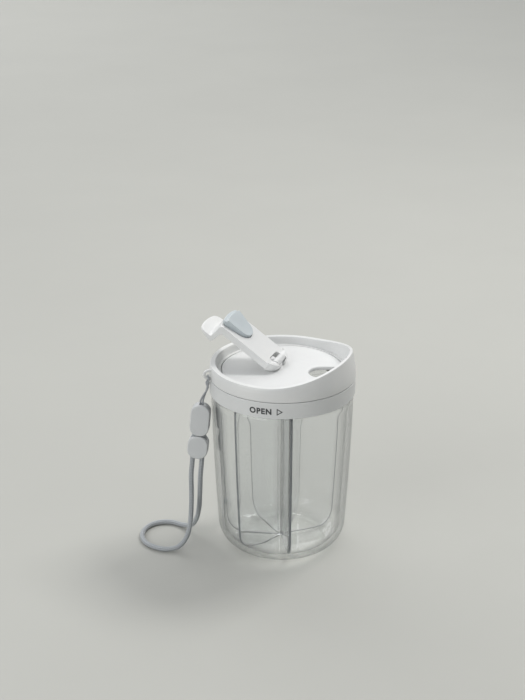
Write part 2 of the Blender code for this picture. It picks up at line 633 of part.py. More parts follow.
STRAND = 2.6                 # half the spacing of the two loop strands
S_SLIDER0, S_SLIDER1 = 19.0, 32.4
long_bead = bead("long_bead", 0.0, 18.6, 10.6, 6.0, 4.6, 0.9)
slider = bead("slider_bead", S_SLIDER0, S_SLIDER1, 11.2, 6.4, 4.6, 0.9)
# long bead: two bores for the loop from below, a pocket for the crimp, a small hole on top
for e in (-STRAND, STRAND):
    bore(long_bead, 11.5, 20.0, e, 1.65)
    bore(slider, 17.0, 34.0, e, 1.65)
a, b = on_strap(4.2), on_strap(12.2)
m = Matrix.Translation((a + b) * 0.5 * MM) @ Matrix(((E.x, F.x, -D.x, 0), (E.y, F.y, -D.y, 0), (E.z, F.z, -D.z, 0), (0, 0, 0, 1)))
boolean(long_bead, block("pocket", (-4.2, -1.7, -4.0), (4.2, 1.7, 4.0), m), 'DIFFERENCE')
bore(long_bead, -1.0, 5.0, 0.0, 1.35)

# crimp: flattened steel sleeve in the pocket
bm = bmesh.new()
bmesh.ops.create_cube(bm, size=1.0, matrix=Matrix.Diagonal((7.6, 2.6, 5.2, 1)))
bmesh.ops.bevel(bm, geom=bm.edges[:], offset=0.5, segments=2, profile=0.5, affect='EDGES')
bmesh.ops.transform(bm, verts=bm.verts[:], matrix=Matrix.Diagonal((MM, MM, MM, 1)) @ Matrix.Translation(on_strap(8.1))
                    @ Matrix(((E.x, F.x, -D.x, 0), (E.y, F.y, -D.y, 0), (E.z, F.z, -D.z, 0), (0, 0, 0, 1))))
add_mesh("strap_crimp", bm, parts, M_STEEL)

# thin hitch cord: up out of the long bead, through the eyelet and back
eye_in = ed * (R_EYE + 1.35)
t_eye = polar(AZ_EYE + 90.0)
h = 0.62
K_KNOT, Z_KNOT = ed * 41.75, 99.6
hitch = [on_strap(5.2, -h), on_strap(2.0, -h), on_strap(-2.0, -h),
         Vector((K_KNOT.x, K_KNOT.y, Z_KNOT - 2.6)) + t_eye * h,
         Vector((K_KNOT.x, K_KNOT.y, Z_KNOT)) + t_eye * h,
         Vector((eye_in.x, eye_in.y, 102.1)) + t_eye * 1.75,
         Vector((eye_in.x, eye_in.y, 103.5)) + t_eye * 1.15,
         Vector((eye_in.x, eye_in.y, 103.95)),
         Vector((eye_in.x, eye_in.y, 103.5)) - t_eye * 1.15,
         Vector((eye_in.x, eye_in.y, 102.1)) - t_eye * 1.75,
         Vector((K_KNOT.x, K_KNOT.y, Z_KNOT)) - t_eye * h,
         Vector((K_KNOT.x, K_KNOT.y, Z_KNOT - 2.6)) - t_eye * h,
         on_strap(-2.0, h), on_strap(2.0, h), on_strap(5.2, h)]
curve = tube("hitch_curve", smooth_path(hitch, 1.5), 1.0, M_CORD)
bm = baked(curve)
bpy.data.objects.remove(curve, do_unlink=True)
hitch_cord = add_mesh("hitch_cord", bm, parts, M_CORD)
# the knot under the eyelet, drawn up round both strands
bm = bmesh.new()
bmesh.ops.create_uvsphere(bm, u_segments=14, v_segments=8, radius=1.0,
                          matrix=Matrix.Translation(Vector((K_KNOT.x, K_KNOT.y, Z_KNOT)) * MM)
                          @ Matrix.Diagonal((1.45 * MM, 1.45 * MM, 1.15 * MM, 1)))
boolean(hitch_cord, add_mesh("knot", bm, cutters), 'UNION')

# wrist loop: down through both beads, sweeping to the left onto the surface
# that the object stands on, and back up
LOOP_D = 2.7
zf = LOOP_D / 2 + 0.12
right = [on_strap(12.0, STRAND), on_strap(20.0, STRAND), on_strap(28.0, STRAND), on_strap(36.0, STRAND),
         on_strap(44.0, STRAND)]
left = [on_strap(12.0, -STRAND), on_strap(20.0, -STRAND), on_strap(28.0, -STRAND), on_strap(36.0, -STRAND),
        on_strap(44.0, -STRAND)]
floor_run = [Vector(p) for p in (
    (-45.9, -7.6, 31.0), (-46.8, -4.4, 20.0), (-48.8, -0.2, 10.5), (-52.2, 4.6, 4.2), (-57.4, 9.4, zf + 0.1),
    (-63.6, 12.6, zf), (-70.2, 12.6, zf), (-76.0, 9.0, zf), (-79.2, 2.6, zf), (-79.4, -4.8, zf),
    (-76.6, -11.6, zf), (-71.2, -16.4, zf), (-64.4, -18.6, zf), (-57.8, -17.8, 2.7), (-53.4, -15.6, 7.5),
    (-51.3, -13.4, 15.5), (-50.6, -11.6, 25.0), (-50.4, -10.3, 34.0))]
route = right + floor_run + list(reversed(left))
tube("wrist_loop", smooth_path(route, 4.2), LOOP_D, M_CORD)
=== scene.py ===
import math
from math import sin, cos, pi, radians, sqrt

import bmesh
import bpy
import numpy as np
from mathutils import Matrix, Vector


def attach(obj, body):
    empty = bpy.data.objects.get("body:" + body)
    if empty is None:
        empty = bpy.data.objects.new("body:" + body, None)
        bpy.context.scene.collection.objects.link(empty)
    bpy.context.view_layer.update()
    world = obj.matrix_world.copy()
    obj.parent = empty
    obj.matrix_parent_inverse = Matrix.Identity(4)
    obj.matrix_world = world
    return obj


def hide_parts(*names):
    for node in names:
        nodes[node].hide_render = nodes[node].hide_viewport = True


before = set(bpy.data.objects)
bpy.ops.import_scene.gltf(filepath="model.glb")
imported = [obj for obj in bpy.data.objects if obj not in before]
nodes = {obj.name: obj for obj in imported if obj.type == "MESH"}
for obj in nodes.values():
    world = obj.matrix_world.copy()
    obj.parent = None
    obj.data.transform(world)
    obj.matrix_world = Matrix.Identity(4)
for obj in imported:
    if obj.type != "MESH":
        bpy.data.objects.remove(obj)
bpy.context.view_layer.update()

MM = 0.001

# ------------------------------------------------------------------ camera
cam_data = bpy.data.cameras.new("camera")
cam_data.sensor_fit = 'VERTICAL'
cam_data.sensor_height = 36.0
cam_data.lens = 73.43
cam_data.clip_start = 0.01
cam_data.clip_end = 20.0
cam = bpy.data.objects.new("camera", cam_data)
bpy.context.scene.collection.objects.link(cam)
cam.location = (0.0, -0.7188, 0.4069)
cam.rotation_euler = (pi / 2 - 0.385776, 0.0, 0.01516)
bpy.context.scene.camera = cam

# ---------------------------------------------------- dimensions (mm), as in the CAD
AZ_OPEN = -20.0
HINGE_U, HINGE_Z = -2.5, 108.3
LEVER_T0, LEVER_T1 = -1.0, 2.9
LEVER_OPEN = 146.0
R_BASE, CORNER_A, CORNER_B = 24.0, 12.0, 14.0
WALL, FLOOR = 3.2, 2.0
AZ_BLADE0, PITCHES, BLADES = 20.8, 7, 6
Z_RIM, Z_LIFT0, LIP_H, LIP_HALF = 108.5, 104.95, 7.7, 88.0
Z_DECK, T_DECK, R_DECK = 104.6, 1.6, 33.3
AZ_EYE, R_EYE, Z_EYE = 194.0, 40.0, 104.6
LEAD = 12.0


def polar(az, r=1.0):
    return Vector((r * cos(radians(az)), r * sin(radians(az)), 0))


U = polar(AZ_OPEN)
W = polar(AZ_OPEN + 90.0)
M_UW = Matrix(((U.x, W.x, 0, 0), (U.y, W.y, 0, 0), (0, 0, 1, 0), (0, 0, 0, 1)))
HINGE = U * (HINGE_U * MM) + Vector((0, 0, HINGE_Z * MM))
M_CLOSED = Matrix.Translation(HINGE) @ M_UW
M_FLIP = M_CLOSED @ Matrix.Rotation(radians(-LEVER_OPEN), 4, 'Y')
M_PIN = Matrix.Translation(HINGE) @ Matrix(((U.x, 0, W.x, 0), (U.y, 0, W.y, 0), (0, 1, 0, 0), (0, 0, 0, 1)))


# ================================================================= materials
class Nodes:
    """Short hand for building a node tree."""

    def __init__(self, name):
        self.m = bpy.data.materials.new(name)
        self.m.use_nodes = True
        self.t = self.m.node_tree
        self.b = self.t.nodes["Principled BSDF"]

    def node(self, kind, **props):
        n = self.t.nodes.new(kind)
        for k, v in props.items():
            if k in n.inputs:
                n.inputs[k].default_value = v
            else:
                setattr(n, k, v)
        return n

    def link(self, a, b):
        self.t.links.new(a, b)

    def noise(self, scale, detail=3.0, rough=0.5, coord=None, distortion=0.0):
        n = self.node("ShaderNodeTexNoise")
        n.inputs["Scale"].default_value = scale
        n.inputs["Detail"].default_value = detail
        n.inputs["Roughness"].default_value = rough
        n.inputs["Distortion"].default_value = distortion
        self.link(coord or self.coord(), n.inputs["Vector"])
        return n.outputs["Fac"]

    def coord(self, kind="Object"):
        if not hasattr(self, "_tc"):
            self._tc = self.node("ShaderNodeTexCoord")
        return self._tc.outputs[kind]

    def remap(self, value, a, b, c, d):
        n = self.node("ShaderNodeMapRange")
        n.inputs["From Min"].default_value = a
        n.inputs["From Max"].default_value = b
        n.inputs["To Min"].default_value = c
        n.inputs["To Max"].default_value = d
        self.link(value, n.inputs["Value"])
        return n.outputs["Result"]

    def mixc(self, fac, a, b):
        n = self.node("ShaderNodeMix", data_type='RGBA')
        n.inputs[6].default_value = (*a, 1)
        n.inputs[7].default_value = (*b, 1)
        self.link(fac, n.inputs[0])
        return n.outputs[2]

    def mix_into(self, fac, col, b):
        n = self.node("ShaderNodeMix", data_type='RGBA')
        self.link(col, n.inputs[6])
        n.inputs[7].default_value = (*b, 1)
        self.link(fac, n.inputs[0])
        return n.outputs[2]

    def math(self, op, a, b=None, clamp=False):
        n = self.node("ShaderNodeMath", operation=op, use_clamp=clamp)
        for i, v in enumerate((a, b)):
            if v is None:
                continue
            if isinstance(v, (int, float)):
                n.inputs[i].default_value = v
            else:
                self.link(v, n.inputs[i])
        return n.outputs[0]

    def bump(self, height, strength, distance, normal=None):
        n = self.node("ShaderNodeBump")
        n.inputs["Strength"].default_value = strength
        n.inputs["Distance"].default_value = distance
        self.link(height, n.inputs["Height"])
        if normal is not None:
            self.link(normal, n.inputs["Normal"])
        return n.outputs["Normal"]

    def set(self, **kw):
        for k, v in kw.items():
            k = k.replace("_", " ")
            s = self.b.inputs[k]
            if isinstance(v, (int, float, tuple)):
                s.default_value = v if not isinstance(v, tuple) else (*v, 1)
            else:
                self.link(v, s)
        return self


def moulded(name, base, dark, rough=(0.30, 0.42), grain=0.010, sss=0.06):
    """Satin moulded plastic: fine spark-eroded grain, faint flow marks, edges a little
    polished by handling (lower roughness there), and a painted highlight that lightens the colour along convex edges."""
    n = Nodes(name)
    fine = n.noise(2600, 2.0, 0.6)
    cloud = n.noise(38, 4.0, 0.55, distortion=0.4)
    scuff = n.noise(210, 6.0, 0.7, distortion=1.2)
    colour = n.mixc(n.remap(cloud, 0.35, 0.65, 0.0, 1.0), base, dark)
    geo = n.node("ShaderNodeNewGeometry")
    # painted highlight: convex edges, found by pointiness, get a lighter colour; the same mask lowers the roughness
    # there
    edge = n.remap(geo.outputs["Pointiness"], 0.505, 0.56, 0.0, 0.35)
    colour = n.mix_into(edge, colour, tuple(min(1.0, c * 1.05) for c in base))
    r = n.remap(scuff, 0.3, 0.75, rough[0], rough[1])
    r = n.math('SUBTRACT', r, n.math('MULTIPLY', edge, 0.12))
    nrm = n.bump(fine, 0.35, grain * MM)
    nrm = n.bump(cloud, 0.25, 0.02 * MM, nrm)
    n.set(Base_Color=colour, Roughness=r, Normal=nrm)
    n.b.inputs["IOR"].default_value = 1.50
    n.b.inputs["Subsurface Weight"].default_value = sss
    n.b.inputs["Subsurface Radius"].default_value = (1.0, 1.0, 1.0)
    n.b.inputs["Subsurface Scale"].default_value = 0.0008
    return n.m


def clear(name, tint, rough=(0.012, 0.04), ior=1.47, ripple=0.010, pass_=0.965, depth=((0.62, 0.655, 0.66), 38.0),
          edge_shade=(0.2, 0.21, 0.215)):
    """Clear moulded plastic: slightly uneven polish, faint flow ripples, a cool tint that
    builds up over long paths inside it, and painted shade that darkens its colour where the surface turns edge-on.
    Lamps shine through it."""
    n = Nodes(name)
    flow = n.noise(26, 3.0, 0.5, distortion=0.8)
    haze = n.noise(140, 5.0, 0.65, distortion=0.6)
    r = n.remap(haze, 0.35, 0.8, rough[0], rough[1])
    colour = n.mixc(n.remap(flow, 0.3, 0.7, 0.0, 1.0), tint, tuple(min(1.0, c * 1.01) for c in tint))
    # painted shade: the colour goes towards a dark grey where the surface turns edge-on
    graze = n.node("ShaderNodeLayerWeight")
    graze.inputs["Blend"].default_value = 0.5
    colour = n.mix_into(n.remap(graze.outputs["Facing"], 0.5, 0.88, 0.0, 1.0), colour, edge_shade)
    nrm = n.bump(flow, 0.3, ripple * MM)
    n.set(Base_Color=colour, Roughness=r, Normal=nrm)
    n.b.inputs["IOR"].default_value = ior
    n.b.inputs["Transmission Weight"].default_value = 1.0
    out = n.t.nodes["Material Output"]
    path = n.node("ShaderNodeLightPath")
    through = n.node("ShaderNodeBsdfTransparent")
    through.inputs["Color"].default_value = (pass_, pass_, pass_, 1)
    mix = n.node("ShaderNodeMixShader")
    n.link(path.outputs["Is Shadow Ray"], mix.inputs[0])
    n.link(n.b.outputs[0], mix.inputs[1])
    n.link(through.outputs[0], mix.inputs[2])
    n.link(mix.outputs[0], out.inputs["Surface"])
    inside = n.node("ShaderNodeVolumeAbsorption")
    inside.inputs["Color"].default_value = (*depth[0], 1)
    inside.inputs["Density"].default_value = depth[1]
    n.link(inside.outputs[0], out.inputs["Volume"])
    return n.m


def silicone(name, base, dark):
    n = Nodes(name)
    fine = n.noise(1800, 2.0, 0.5)
    cloud = n.noise(55, 4.0, 0.6)
    dust = n.noise(420, 7.0, 0.75, distortion=0.5)
    colour = n.mixc(n.remap(cloud, 0.3, 0.7, 0.0, 1.0), base, dark)
    r = n.remap(dust, 0.3, 0.75, 0.44, 0.62)
    nrm = n.bump(fine, 0.4, 0.012 * MM)
    n.set(Base_Color=colour, Roughness=r, Normal=nrm)
    n.b.inputs["IOR"].default_value = 1.41
    n.b.inputs["Subsurface Weight"].default_value = 0.35
    n.b.inputs["Subsurface Radius"].default_value = (1.0, 0.95, 0.9)
    n.b.inputs["Subsurface Scale"].default_value = 0.0015
    n.b.inputs["Sheen Weight"].default_value = 0.15
    n.b.inputs["Sheen Roughness"].default_value = 0.5
    return n.m


def steel(name):
    n = Nodes(name)
    mp = n.node("ShaderNodeMapping")
    n.link(n.coord(), mp.inputs["Vector"])
    mp.inputs["Scale"].default_value = (1.0, 1.0, 6.0)
    draw = n.noise(900, 4.0, 0.6, coord=mp.outputs["Vector"])
    colour = n.mixc(n.remap(draw, 0.3, 0.7, 0.0, 1.0), (0.60, 0.60, 0.61), (0.50, 0.50, 0.52))
    r = n.remap(draw, 0.3, 0.7, 0.18, 0.36)
    n.set(Base_Color=colour, Roughness=r, Normal=n.bump(draw, 0.3, 0.006 * MM))
    n.b.inputs["Metallic"].default_value = 1.0
    return n.m


def braid(name, base, dark, pitch_u, strands):
    """Round braid drawn in the tube's own UVs: u runs along it in millimetres,
    v once round it."""
    n = Nodes(name)
    uv = n.coord("UV")
    sep = n.node("ShaderNodeSeparateXYZ")
    n.link(uv, sep.inputs[0])
    a = n.math('MULTIPLY', sep.outputs[0], 2 * pi / pitch_u)
    v = n.math('MULTIPLY', sep.outputs[1], 2 * pi * strands)
    s1 = n.math('SINE', n.math('ADD', a, v))
    s2 = n.math('SINE', n.math('SUBTRACT', a, v))
    over = n.math('MULTIPLY', s1, s2)
    h = n.remap(over, -1.0, 1.0, 0.0, 1.0)
    fibre = n.noise(5200, 3.0, 0.7)
    cloud = n.noise(90, 3.0, 0.5)
    height = n.math('ADD', h, n.math('MULTIPLY', fibre, 0.35))
    # painted shade: the colour runs from dark in the braid's grooves to base on its crests; the cloud mix on the next
    # line is random tone
    colour = n.mixc(n.remap(h, 0.05, 0.75, 0.0, 1.0), dark, base)
    colour = n.mix_into(n.remap(cloud, 0.45, 0.8, 0.0, 0.35), colour, dark)
    n.set(Base_Color=colour, Roughness=n.remap(fibre, 0.3, 0.7, 0.68, 0.9),
          Normal=n.bump(height, 0.9, 0.16 * MM))
    n.b.inputs["Sheen Weight"].default_value = 0.3
    n.b.inputs["Sheen Roughness"].default_value = 0.4
    return n.m


M_CUP = clear("clear_cup", (0.992, 0.994, 0.994))
M_BLADES = clear("clear_blades", (0.975, 0.98, 0.983), rough=(0.03, 0.08), ripple=0.016, depth=((0.5, 0.54, 0.55), 26.0), edge_shade=(0.62, 0.64, 0.65))
# painted shade: an opaque dark grey for the clear blades' outer edges
M_BLADE_EDGE_SHADE = moulded("blade_edges_painted_shade", (0.20, 0.215, 0.225), (0.16, 0.17, 0.18), rough=(0.35, 0.5), sss=0.0)
M_LID = moulded("lid_white", (0.74, 0.745, 0.735), (0.705, 0.713, 0.708))
M_DECK = moulded("deck_white", (0.715, 0.722, 0.715), (0.68, 0.688, 0.685), rough=(0.36, 0.5), grain=0.014)
M_COLLAR = moulded("collar_white", (0.69, 0.70, 0.695), (0.655, 0.665, 0.663), rough=(0.32, 0.45))
M_LEVER = moulded("lever_white", (0.75, 0.755, 0.745), (0.715, 0.723, 0.718), rough=(0.27, 0.38))
M_BEAD = moulded("bead_plastic", (0.64, 0.655, 0.655), (0.60, 0.615, 0.62), rough=(0.3, 0.45), grain=0.012)
M_INK = moulded("print_grey", (0.05, 0.053, 0.056), (0.065, 0.07, 0.073), rough=(0.42, 0.55), grain=0.006, sss=0.0)
M_SEAL = silicone("silicone_seal", (0.56, 0.61, 0.63), (0.50, 0.55, 0.57))
M_STEEL = steel("drawn_steel")
M_CORD = braid("cord_braid", (0.50, 0.525, 0.54), (0.22, 0.235, 0.25), 1.9, 4)
M_THIN = braid("thin_cord_braid", (0.46, 0.48, 0.50), (0.20, 0.21, 0.225), 0.9, 3)


# ============================================================== mesh helpers
def link_mesh(name, verts, faces, mat, smooth_angle=38.0, weighted=True, scale=MM):
    me = bpy.data.meshes.new(name)
    v = np.asarray(verts, float) * scale
    me.from_pydata([tuple(p) for p in v], [], faces)
    me.validate()
    bm = bmesh.new()
    bm.from_mesh(me)
    bmesh.ops.recalc_face_normals(bm, faces=bm.faces[:])
    bm.to_mesh(me)
    bm.free()
    ob = bpy.data.objects.new(name, me)
    bpy.context.scene.collection.objects.link(ob)
    me.materials.append(mat)
    me.shade_smooth()
    me.set_sharp_from_angle(angle=radians(smooth_angle))
    if weighted:
        m = ob.modifiers.new("weighted", 'WEIGHTED_NORMAL')
        m.keep_sharp = True
    return ob


def rounded_profile(pts, closed=True, seg=4):
    """Polyline of (r, z, fillet) turned into one with arcs at its corners."""
    n = len(pts)
    out = []
    for i in range(n):
        p = Vector((pts[i][0], pts[i][1]))
        f = pts[i][2] if len(pts[i]) > 2 else 0.0
        if f <= 0 or (not closed and i in (0, n - 1)):
            out.append((p.x, p.y))
            continue
        a = Vector((pts[i - 1][0], pts[i - 1][1])) - p
        b = Vector((pts[(i + 1) % n][0], pts[(i + 1) % n][1])) - p
        la, lb = a.length, b.length
        a.normalize()
        b.normalize()
        ang = a.angle(b)
        if ang > radians(176):
            out.append((p.x, p.y))
            continue
        d = f / math.tan(ang / 2)
        d = min(d, la * 0.49, lb * 0.49)
        r = d * math.tan(ang / 2)
        c = p + (a + b).normalized() * (r / sin(ang / 2))
        p0, p1 = p + a * d, p + b * d
        a0 = math.atan2(p0.y - c.y, p0.x - c.x)
        a1 = math.atan2(p1.y - c.y, p1.x - c.x)
        da = (a1 - a0 + pi) % (2 * pi) - pi
        for k in range(seg + 1):
            t = a0 + da * k / seg
            out.append((c.x + r * cos(t), c.y + r * sin(t)))
    return out


def densify(pts, step, closed=True):
    out = []
    n = len(pts)
    for i in range(n if closed else n - 1):
        a, b = pts[i], pts[(i + 1) % n]
        L = math.hypot(b[0] - a[0], b[1] - a[1])
        k = max(1, int(math.ceil(L / step)))
        for j in range(k):
            t = j / k
            out.append((a[0] + (b[0] - a[0]) * t, a[1] + (b[1] - a[1]) * t))
    if not closed:
        out.append(pts[-1])
    return out


def lathe(name, prof, segs, mat, move=None, closed=True, **kw):
    """Turned mesh.  move(r, az, z) -> (r, z) shapes it as a function of azimuth.
    An open profile starts and ends on the axis."""
    verts, faces = [], []
    n = len(prof)
    ring = []
    core = prof if closed else prof[1:-1]
    for j in range(segs):
        az = 360.0 * j / segs
        ca, sa = cos(radians(az)), sin(radians(az))
        for r, z in core:
            if move:
                r, z = move(r, az, z)
            verts.append((r * ca, r * sa, z))
    m = len(core)
    for j in range(segs):
        a, b = j * m, ((j + 1) % segs) * m
        for i in range(m if closed else m - 1):
            k = (i + 1) % m
            faces.append((a + i, b + i, b + k, a + k))
    if not closed:
        for end, idx in ((prof[0], 0), (prof[-1], m - 1)):
            c = len(verts)
            verts.append((0.0, 0.0, end[1]))
            for j in range(segs):
                faces.append((j * m + idx, ((j + 1) % segs) * m + idx, c))
    return link_mesh(name, verts, faces, mat, **kw)


def bake(ob):
    """Apply an object's modifiers and place to its own mesh."""
    bpy.context.view_layer.update()
    dg = bpy.context.evaluated_depsgraph_get()
    me = bpy.data.meshes.new_from_object(ob.evaluated_get(dg))
    me.transform(ob.matrix_world)
    old = ob.data
    ob.modifiers.clear()
    ob.data = me
    ob.matrix_world = Matrix.Identity(4)
    if old.users == 0:
        bpy.data.meshes.remove(old)
    return ob


def cut(ob, other, op='DIFFERENCE'):
    m = ob.modifiers.new(op, 'BOOLEAN')
    m.operation = op
    m.solver = 'EXACT'
    m.object = other
    bake(ob)
    bpy.data.objects.remove(other, do_unlink=True)
    return ob


def soften(ob, voxel, rounds, mat, factor=0.5, angle=50.0):
    """Voxel remesh and a few smoothing rounds: every edge gets the small radius
    a moulded piece has."""
    m = ob.modifiers.new("remesh", 'REMESH')
    m.mode = 'VOXEL'
    m.voxel_size = voxel * MM
    m.adaptivity = 0.0
    m.use_smooth_shade = True
    s = ob.modifiers.new("smooth", 'SMOOTH')
    s.factor = factor
    s.iterations = rounds
    bake(ob)
    ob.data.materials.clear()
    ob.data.materials.append(mat)
    ob.data.shade_smooth()
    return ob


def prism(name, outline, z0, z1, mat=None, levels=None):
    """Loft of one closed outline (mm) between heights.  levels: list of
    (z, function(points) -> points)."""
    mat = mat or M_LID
    if levels is None:
        levels = [(z0, None), (z1, None)]
    verts, faces = [], []
    n = len(outline)
    for z, fn in levels:
        pts = fn(outline) if fn else outline
        for x, y in pts:
            verts.append((x, y, z))
    for l in range(len(levels) - 1):
        for i in range(n):
            j = (i + 1) % n
            faces.append((l * n + i, l * n + j, (l + 1) * n + j, (l + 1) * n + i))
    faces.append(tuple(range(n))[::-1])
    faces.append(tuple(range((len(levels) - 1) * n, len(levels) * n)))
    return link_mesh(name, verts, faces, mat, weighted=False)


def offset_outline(pts, d):
    """Move a closed outline in by d (out when negative), along its normals."""
    n = len(pts)
    area = sum(pts[i][0] * pts[(i + 1) % n][1] - pts[(i + 1) % n][0] * pts[i][1] for i in range(n))
    sgn = 1.0 if area > 0 else -1.0
    out = []
    for i in range(n):
        p = Vector(pts[i])
        a = (p - Vector(pts[i - 1]))
        b = (Vector(pts[(i + 1) % n]) - p)
        a.normalize()
        b.normalize()
        na, nb = Vector((-a.y, a.x)), Vector((-b.y, b.x))
        m = (na + nb)
        if m.length < 1e-6:
            m = na
        m.normalize()
        k = 1.0 / max(0.5, m.dot(na))
        q = p + m * (d * k * sgn)
        out.append((q.x, q.y))
    return out


def place(ob, mat4):
    ob.data.transform(mat4)
    ob.data.update()
    return ob


def tube_mesh(name, pts, dia, mat, sides=16, sub=4, caps=True):
    """Round tube through smooth points (mm), with UVs: u along it in mm, v round it."""
    P = [Vector(p) for p in pts]
    fine = []
    n = len(P)
    for i in range(n - 1):
        p0 = P[i - 1] if i > 0 else P[0] * 2 - P[1]
        p3 = P[i + 2] if i + 2 < n else P[-1] * 2 - P[-2]
        for k in range(sub):
            t = k / sub
            fine.append(0.5 * ((2 * P[i]) + (P[i + 1] - p0) * t + (2 * p0 - 5 * P[i] + 4 * P[i + 1] - p3) * t * t
                               + (3 * P[i] - p0 - 3 * P[i + 1] + p3) * t ** 3))
    fine.append(P[-1])
    verts, faces, us = [], [], []
    T0 = (fine[1] - fine[0]).normalized()
    N = T0.orthogonal().normalized()
    s = 0.0
    for i, p in enumerate(fine):
        a = fine[max(0, i - 1)]
        b = fine[min(len(fine) - 1, i + 1)]
        T = (b - a).normalized()
        N = (N - T * N.dot(T)).normalized()
        B = T.cross(N)
        if i:
            s += (p - fine[i - 1]).length
        us.append(s)
        for k in range(sides):
            an = 2 * pi * k / sides
            q = p + (N * cos(an) + B * sin(an)) * (dia / 2)
            verts.append((q.x, q.y, q.z))
    uvs = []
    for i in range(len(fine) - 1):
        for k in range(sides):
            j = (k + 1) % sides
            faces.append((i * sides + k, i * sides + j, (i + 1) * sides + j, (i + 1) * sides + k))
            uvs += [(us[i], k / sides), (us[i], (k + 1) / sides), (us[i + 1], (k + 1) / sides), (us[i + 1], k / sides)]
    if caps:
        faces.append(tuple(range(sides))[::-1])
        uvs += [(0, 0)] * sides
        faces.append(tuple(range((len(fine) - 1) * sides, len(fine) * sides)))
        uvs += [(us[-1], 0)] * sides
    me = bpy.data.meshes.new(name)
    me.from_pydata([tuple(c * MM for c in v) for v in verts], [], faces)
    layer = me.uv_layers.new(name="along")
    layer.data.foreach_set("uv", np.array(uvs, np.float32).ravel())
    me.materials.append(mat)
    me.shade_smooth()
    ob = bpy.data.objects.new(name, me)
    bpy.context.scene.collection.objects.link(ob)
    return ob, [tuple(p * MM) for p in fine]


# ==================================================================== strap
P_TOP = Vector((-43.9, -10.2, 87.3))
P_LOW = Vector((-47.0, -9.6, 53.0))
D = (P_LOW - P_TOP).normalized()
E = Vector((1, 0, 0)) - D * D.x
E.normalize()
E = Matrix.Rotation(radians(6.0), 3, D) @ E
F = D.cross(E)
STRAND = 2.6
LOOP_D = 2.7


def on_strap(s, e=0.0, f=0.0):
    return P_TOP + D * s + E * e + F * f


def smooth_path(pts, step):
    """The same smooth route that the CAD solids follow."""
    P = [pts[0] * 2 - pts[1]] + list(pts) + [pts[-1] * 2 - pts[-2]]
    fine = []
    for i in range(1, len(P) - 2):
        a, b, c, d = P[i - 1], P[i], P[i + 1], P[i + 2]
        t0, t1 = 0.0, (b - a).length ** 0.5
        t2 = t1 + (c - b).length ** 0.5
        t3 = t2 + (d - c).length ** 0.5
        for k in range(24):
            t = t1 + (t2 - t1) * k / 24
            A1 = a * ((t1 - t) / (t1 - t0)) + b * ((t - t0) / (t1 - t0))
            A2 = b * ((t2 - t) / (t2 - t1)) + c * ((t - t1) / (t2 - t1))
            A3 = c * ((t3 - t) / (t3 - t2)) + d * ((t - t2) / (t3 - t2))
            B1 = A1 * ((t2 - t) / (t2 - t0)) + A2 * ((t - t0) / (t2 - t0))
            B2 = A2 * ((t3 - t) / (t3 - t1)) + A3 * ((t - t1) / (t3 - t1))
            fine.append(B1 * ((t2 - t) / (t2 - t1)) + B2 * ((t - t1) / (t2 - t1)))
    fine.append(P[-2])
    acc = [0.0]
    for i in range(1, len(fine)):
        acc.append(acc[-1] + (fine[i] - fine[i - 1]).length)
    n = max(4, int(round(acc[-1] / step)))
    out, j = [], 0
    for i in range(n + 1):
        s = acc[-1] * i / n
        while j < len(acc) - 2 and acc[j + 1] < s:
            j += 1
        k = (s - acc[j]) / max(1e-9, acc[j + 1] - acc[j])
        out.append(fine[j].lerp(fine[j + 1], k))
    return out


zf = LOOP_D / 2 + 0.12
right = [on_strap(s, STRAND) for s in (12.0, 20.0, 28.0, 36.0, 44.0)]
left = [on_strap(s, -STRAND) for s in (12.0, 20.0, 28.0, 36.0, 44.0)]
floor_run = [Vector(p) for p in (
    (-45.9, -7.6, 31.0), (-46.8, -4.4, 20.0), (-48.8, -0.2, 10.5), (-52.2, 4.6, 4.2), (-57.4, 9.4, zf + 0.1),
    (-63.6, 12.6, zf), (-70.2, 12.6, zf), (-76.0, 9.0, zf), (-79.2, 2.6, zf), (-79.4, -4.8, zf),
    (-76.6, -11.6, zf), (-71.2, -16.4, zf), (-64.4, -18.6, zf), (-57.8, -17.8, 2.7), (-53.4, -15.6, 7.5),
    (-51.3, -13.4, 15.5), (-50.6, -11.6, 25.0), (-50.4, -10.3, 34.0))]
route = smooth_path(right + floor_run + list(reversed(left)), 2.0)
loop, loop_path = tube_mesh("strap_loop", route, LOOP_D, M_CORD, sides=20, sub=2)

ed = polar(AZ_EYE)
eye_in = ed * (R_EYE + 1.35)
t_eye = polar(AZ_EYE + 90.0)
h = 0.62
K_KNOT, Z_KNOT = ed * 41.75, 99.6
hitch_pts = [on_strap(5.2, -h), on_strap(2.0, -h), on_strap(-2.0, -h),
             Vector((K_KNOT.x, K_KNOT.y, Z_KNOT - 2.6)) + t_eye * h,
             Vector((K_KNOT.x, K_KNOT.y, Z_KNOT)) + t_eye * h,
             Vector((eye_in.x, eye_in.y, 102.1)) + t_eye * 1.75,
             Vector((eye_in.x, eye_in.y, 103.5)) + t_eye * 1.15,
             Vector((eye_in.x, eye_in.y, 103.95)),
             Vector((eye_in.x, eye_in.y, 103.5)) - t_eye * 1.15,
             Vector((eye_in.x, eye_in.y, 102.1)) - t_eye * 1.75,
             Vector((K_KNOT.x, K_KNOT.y, Z_KNOT)) - t_eye * h,
             Vector((K_KNOT.x, K_KNOT.y, Z_KNOT - 2.6)) - t_eye * h,
             on_strap(-2.0, h), on_strap(2.0, h), on_strap(5.2, h)]
thin, thin_path = tube_mesh("strap_hitch", smooth_path(hitch_pts, 0.8), 1.0, M_THIN, sides=14, sub=2)
# the knot under the eyelet: two and a half turns of the cord round both strands
turns = []
for i in range(41):
    a = 2 * pi * 2.5 * i / 40
    squeeze = 1.0 - 0.12 * abs(i / 20 - 1)
    turns.append(Vector((K_KNOT.x, K_KNOT.y, Z_KNOT - 0.78 + 1.56 * i / 40))
                 + (ed * cos(a) * 0.72 + t_eye * sin(a) * 1.12) * squeeze)
knot, _ = tube_mesh("strap_knot", turns, 0.88, M_THIN, sides=14, sub=3)


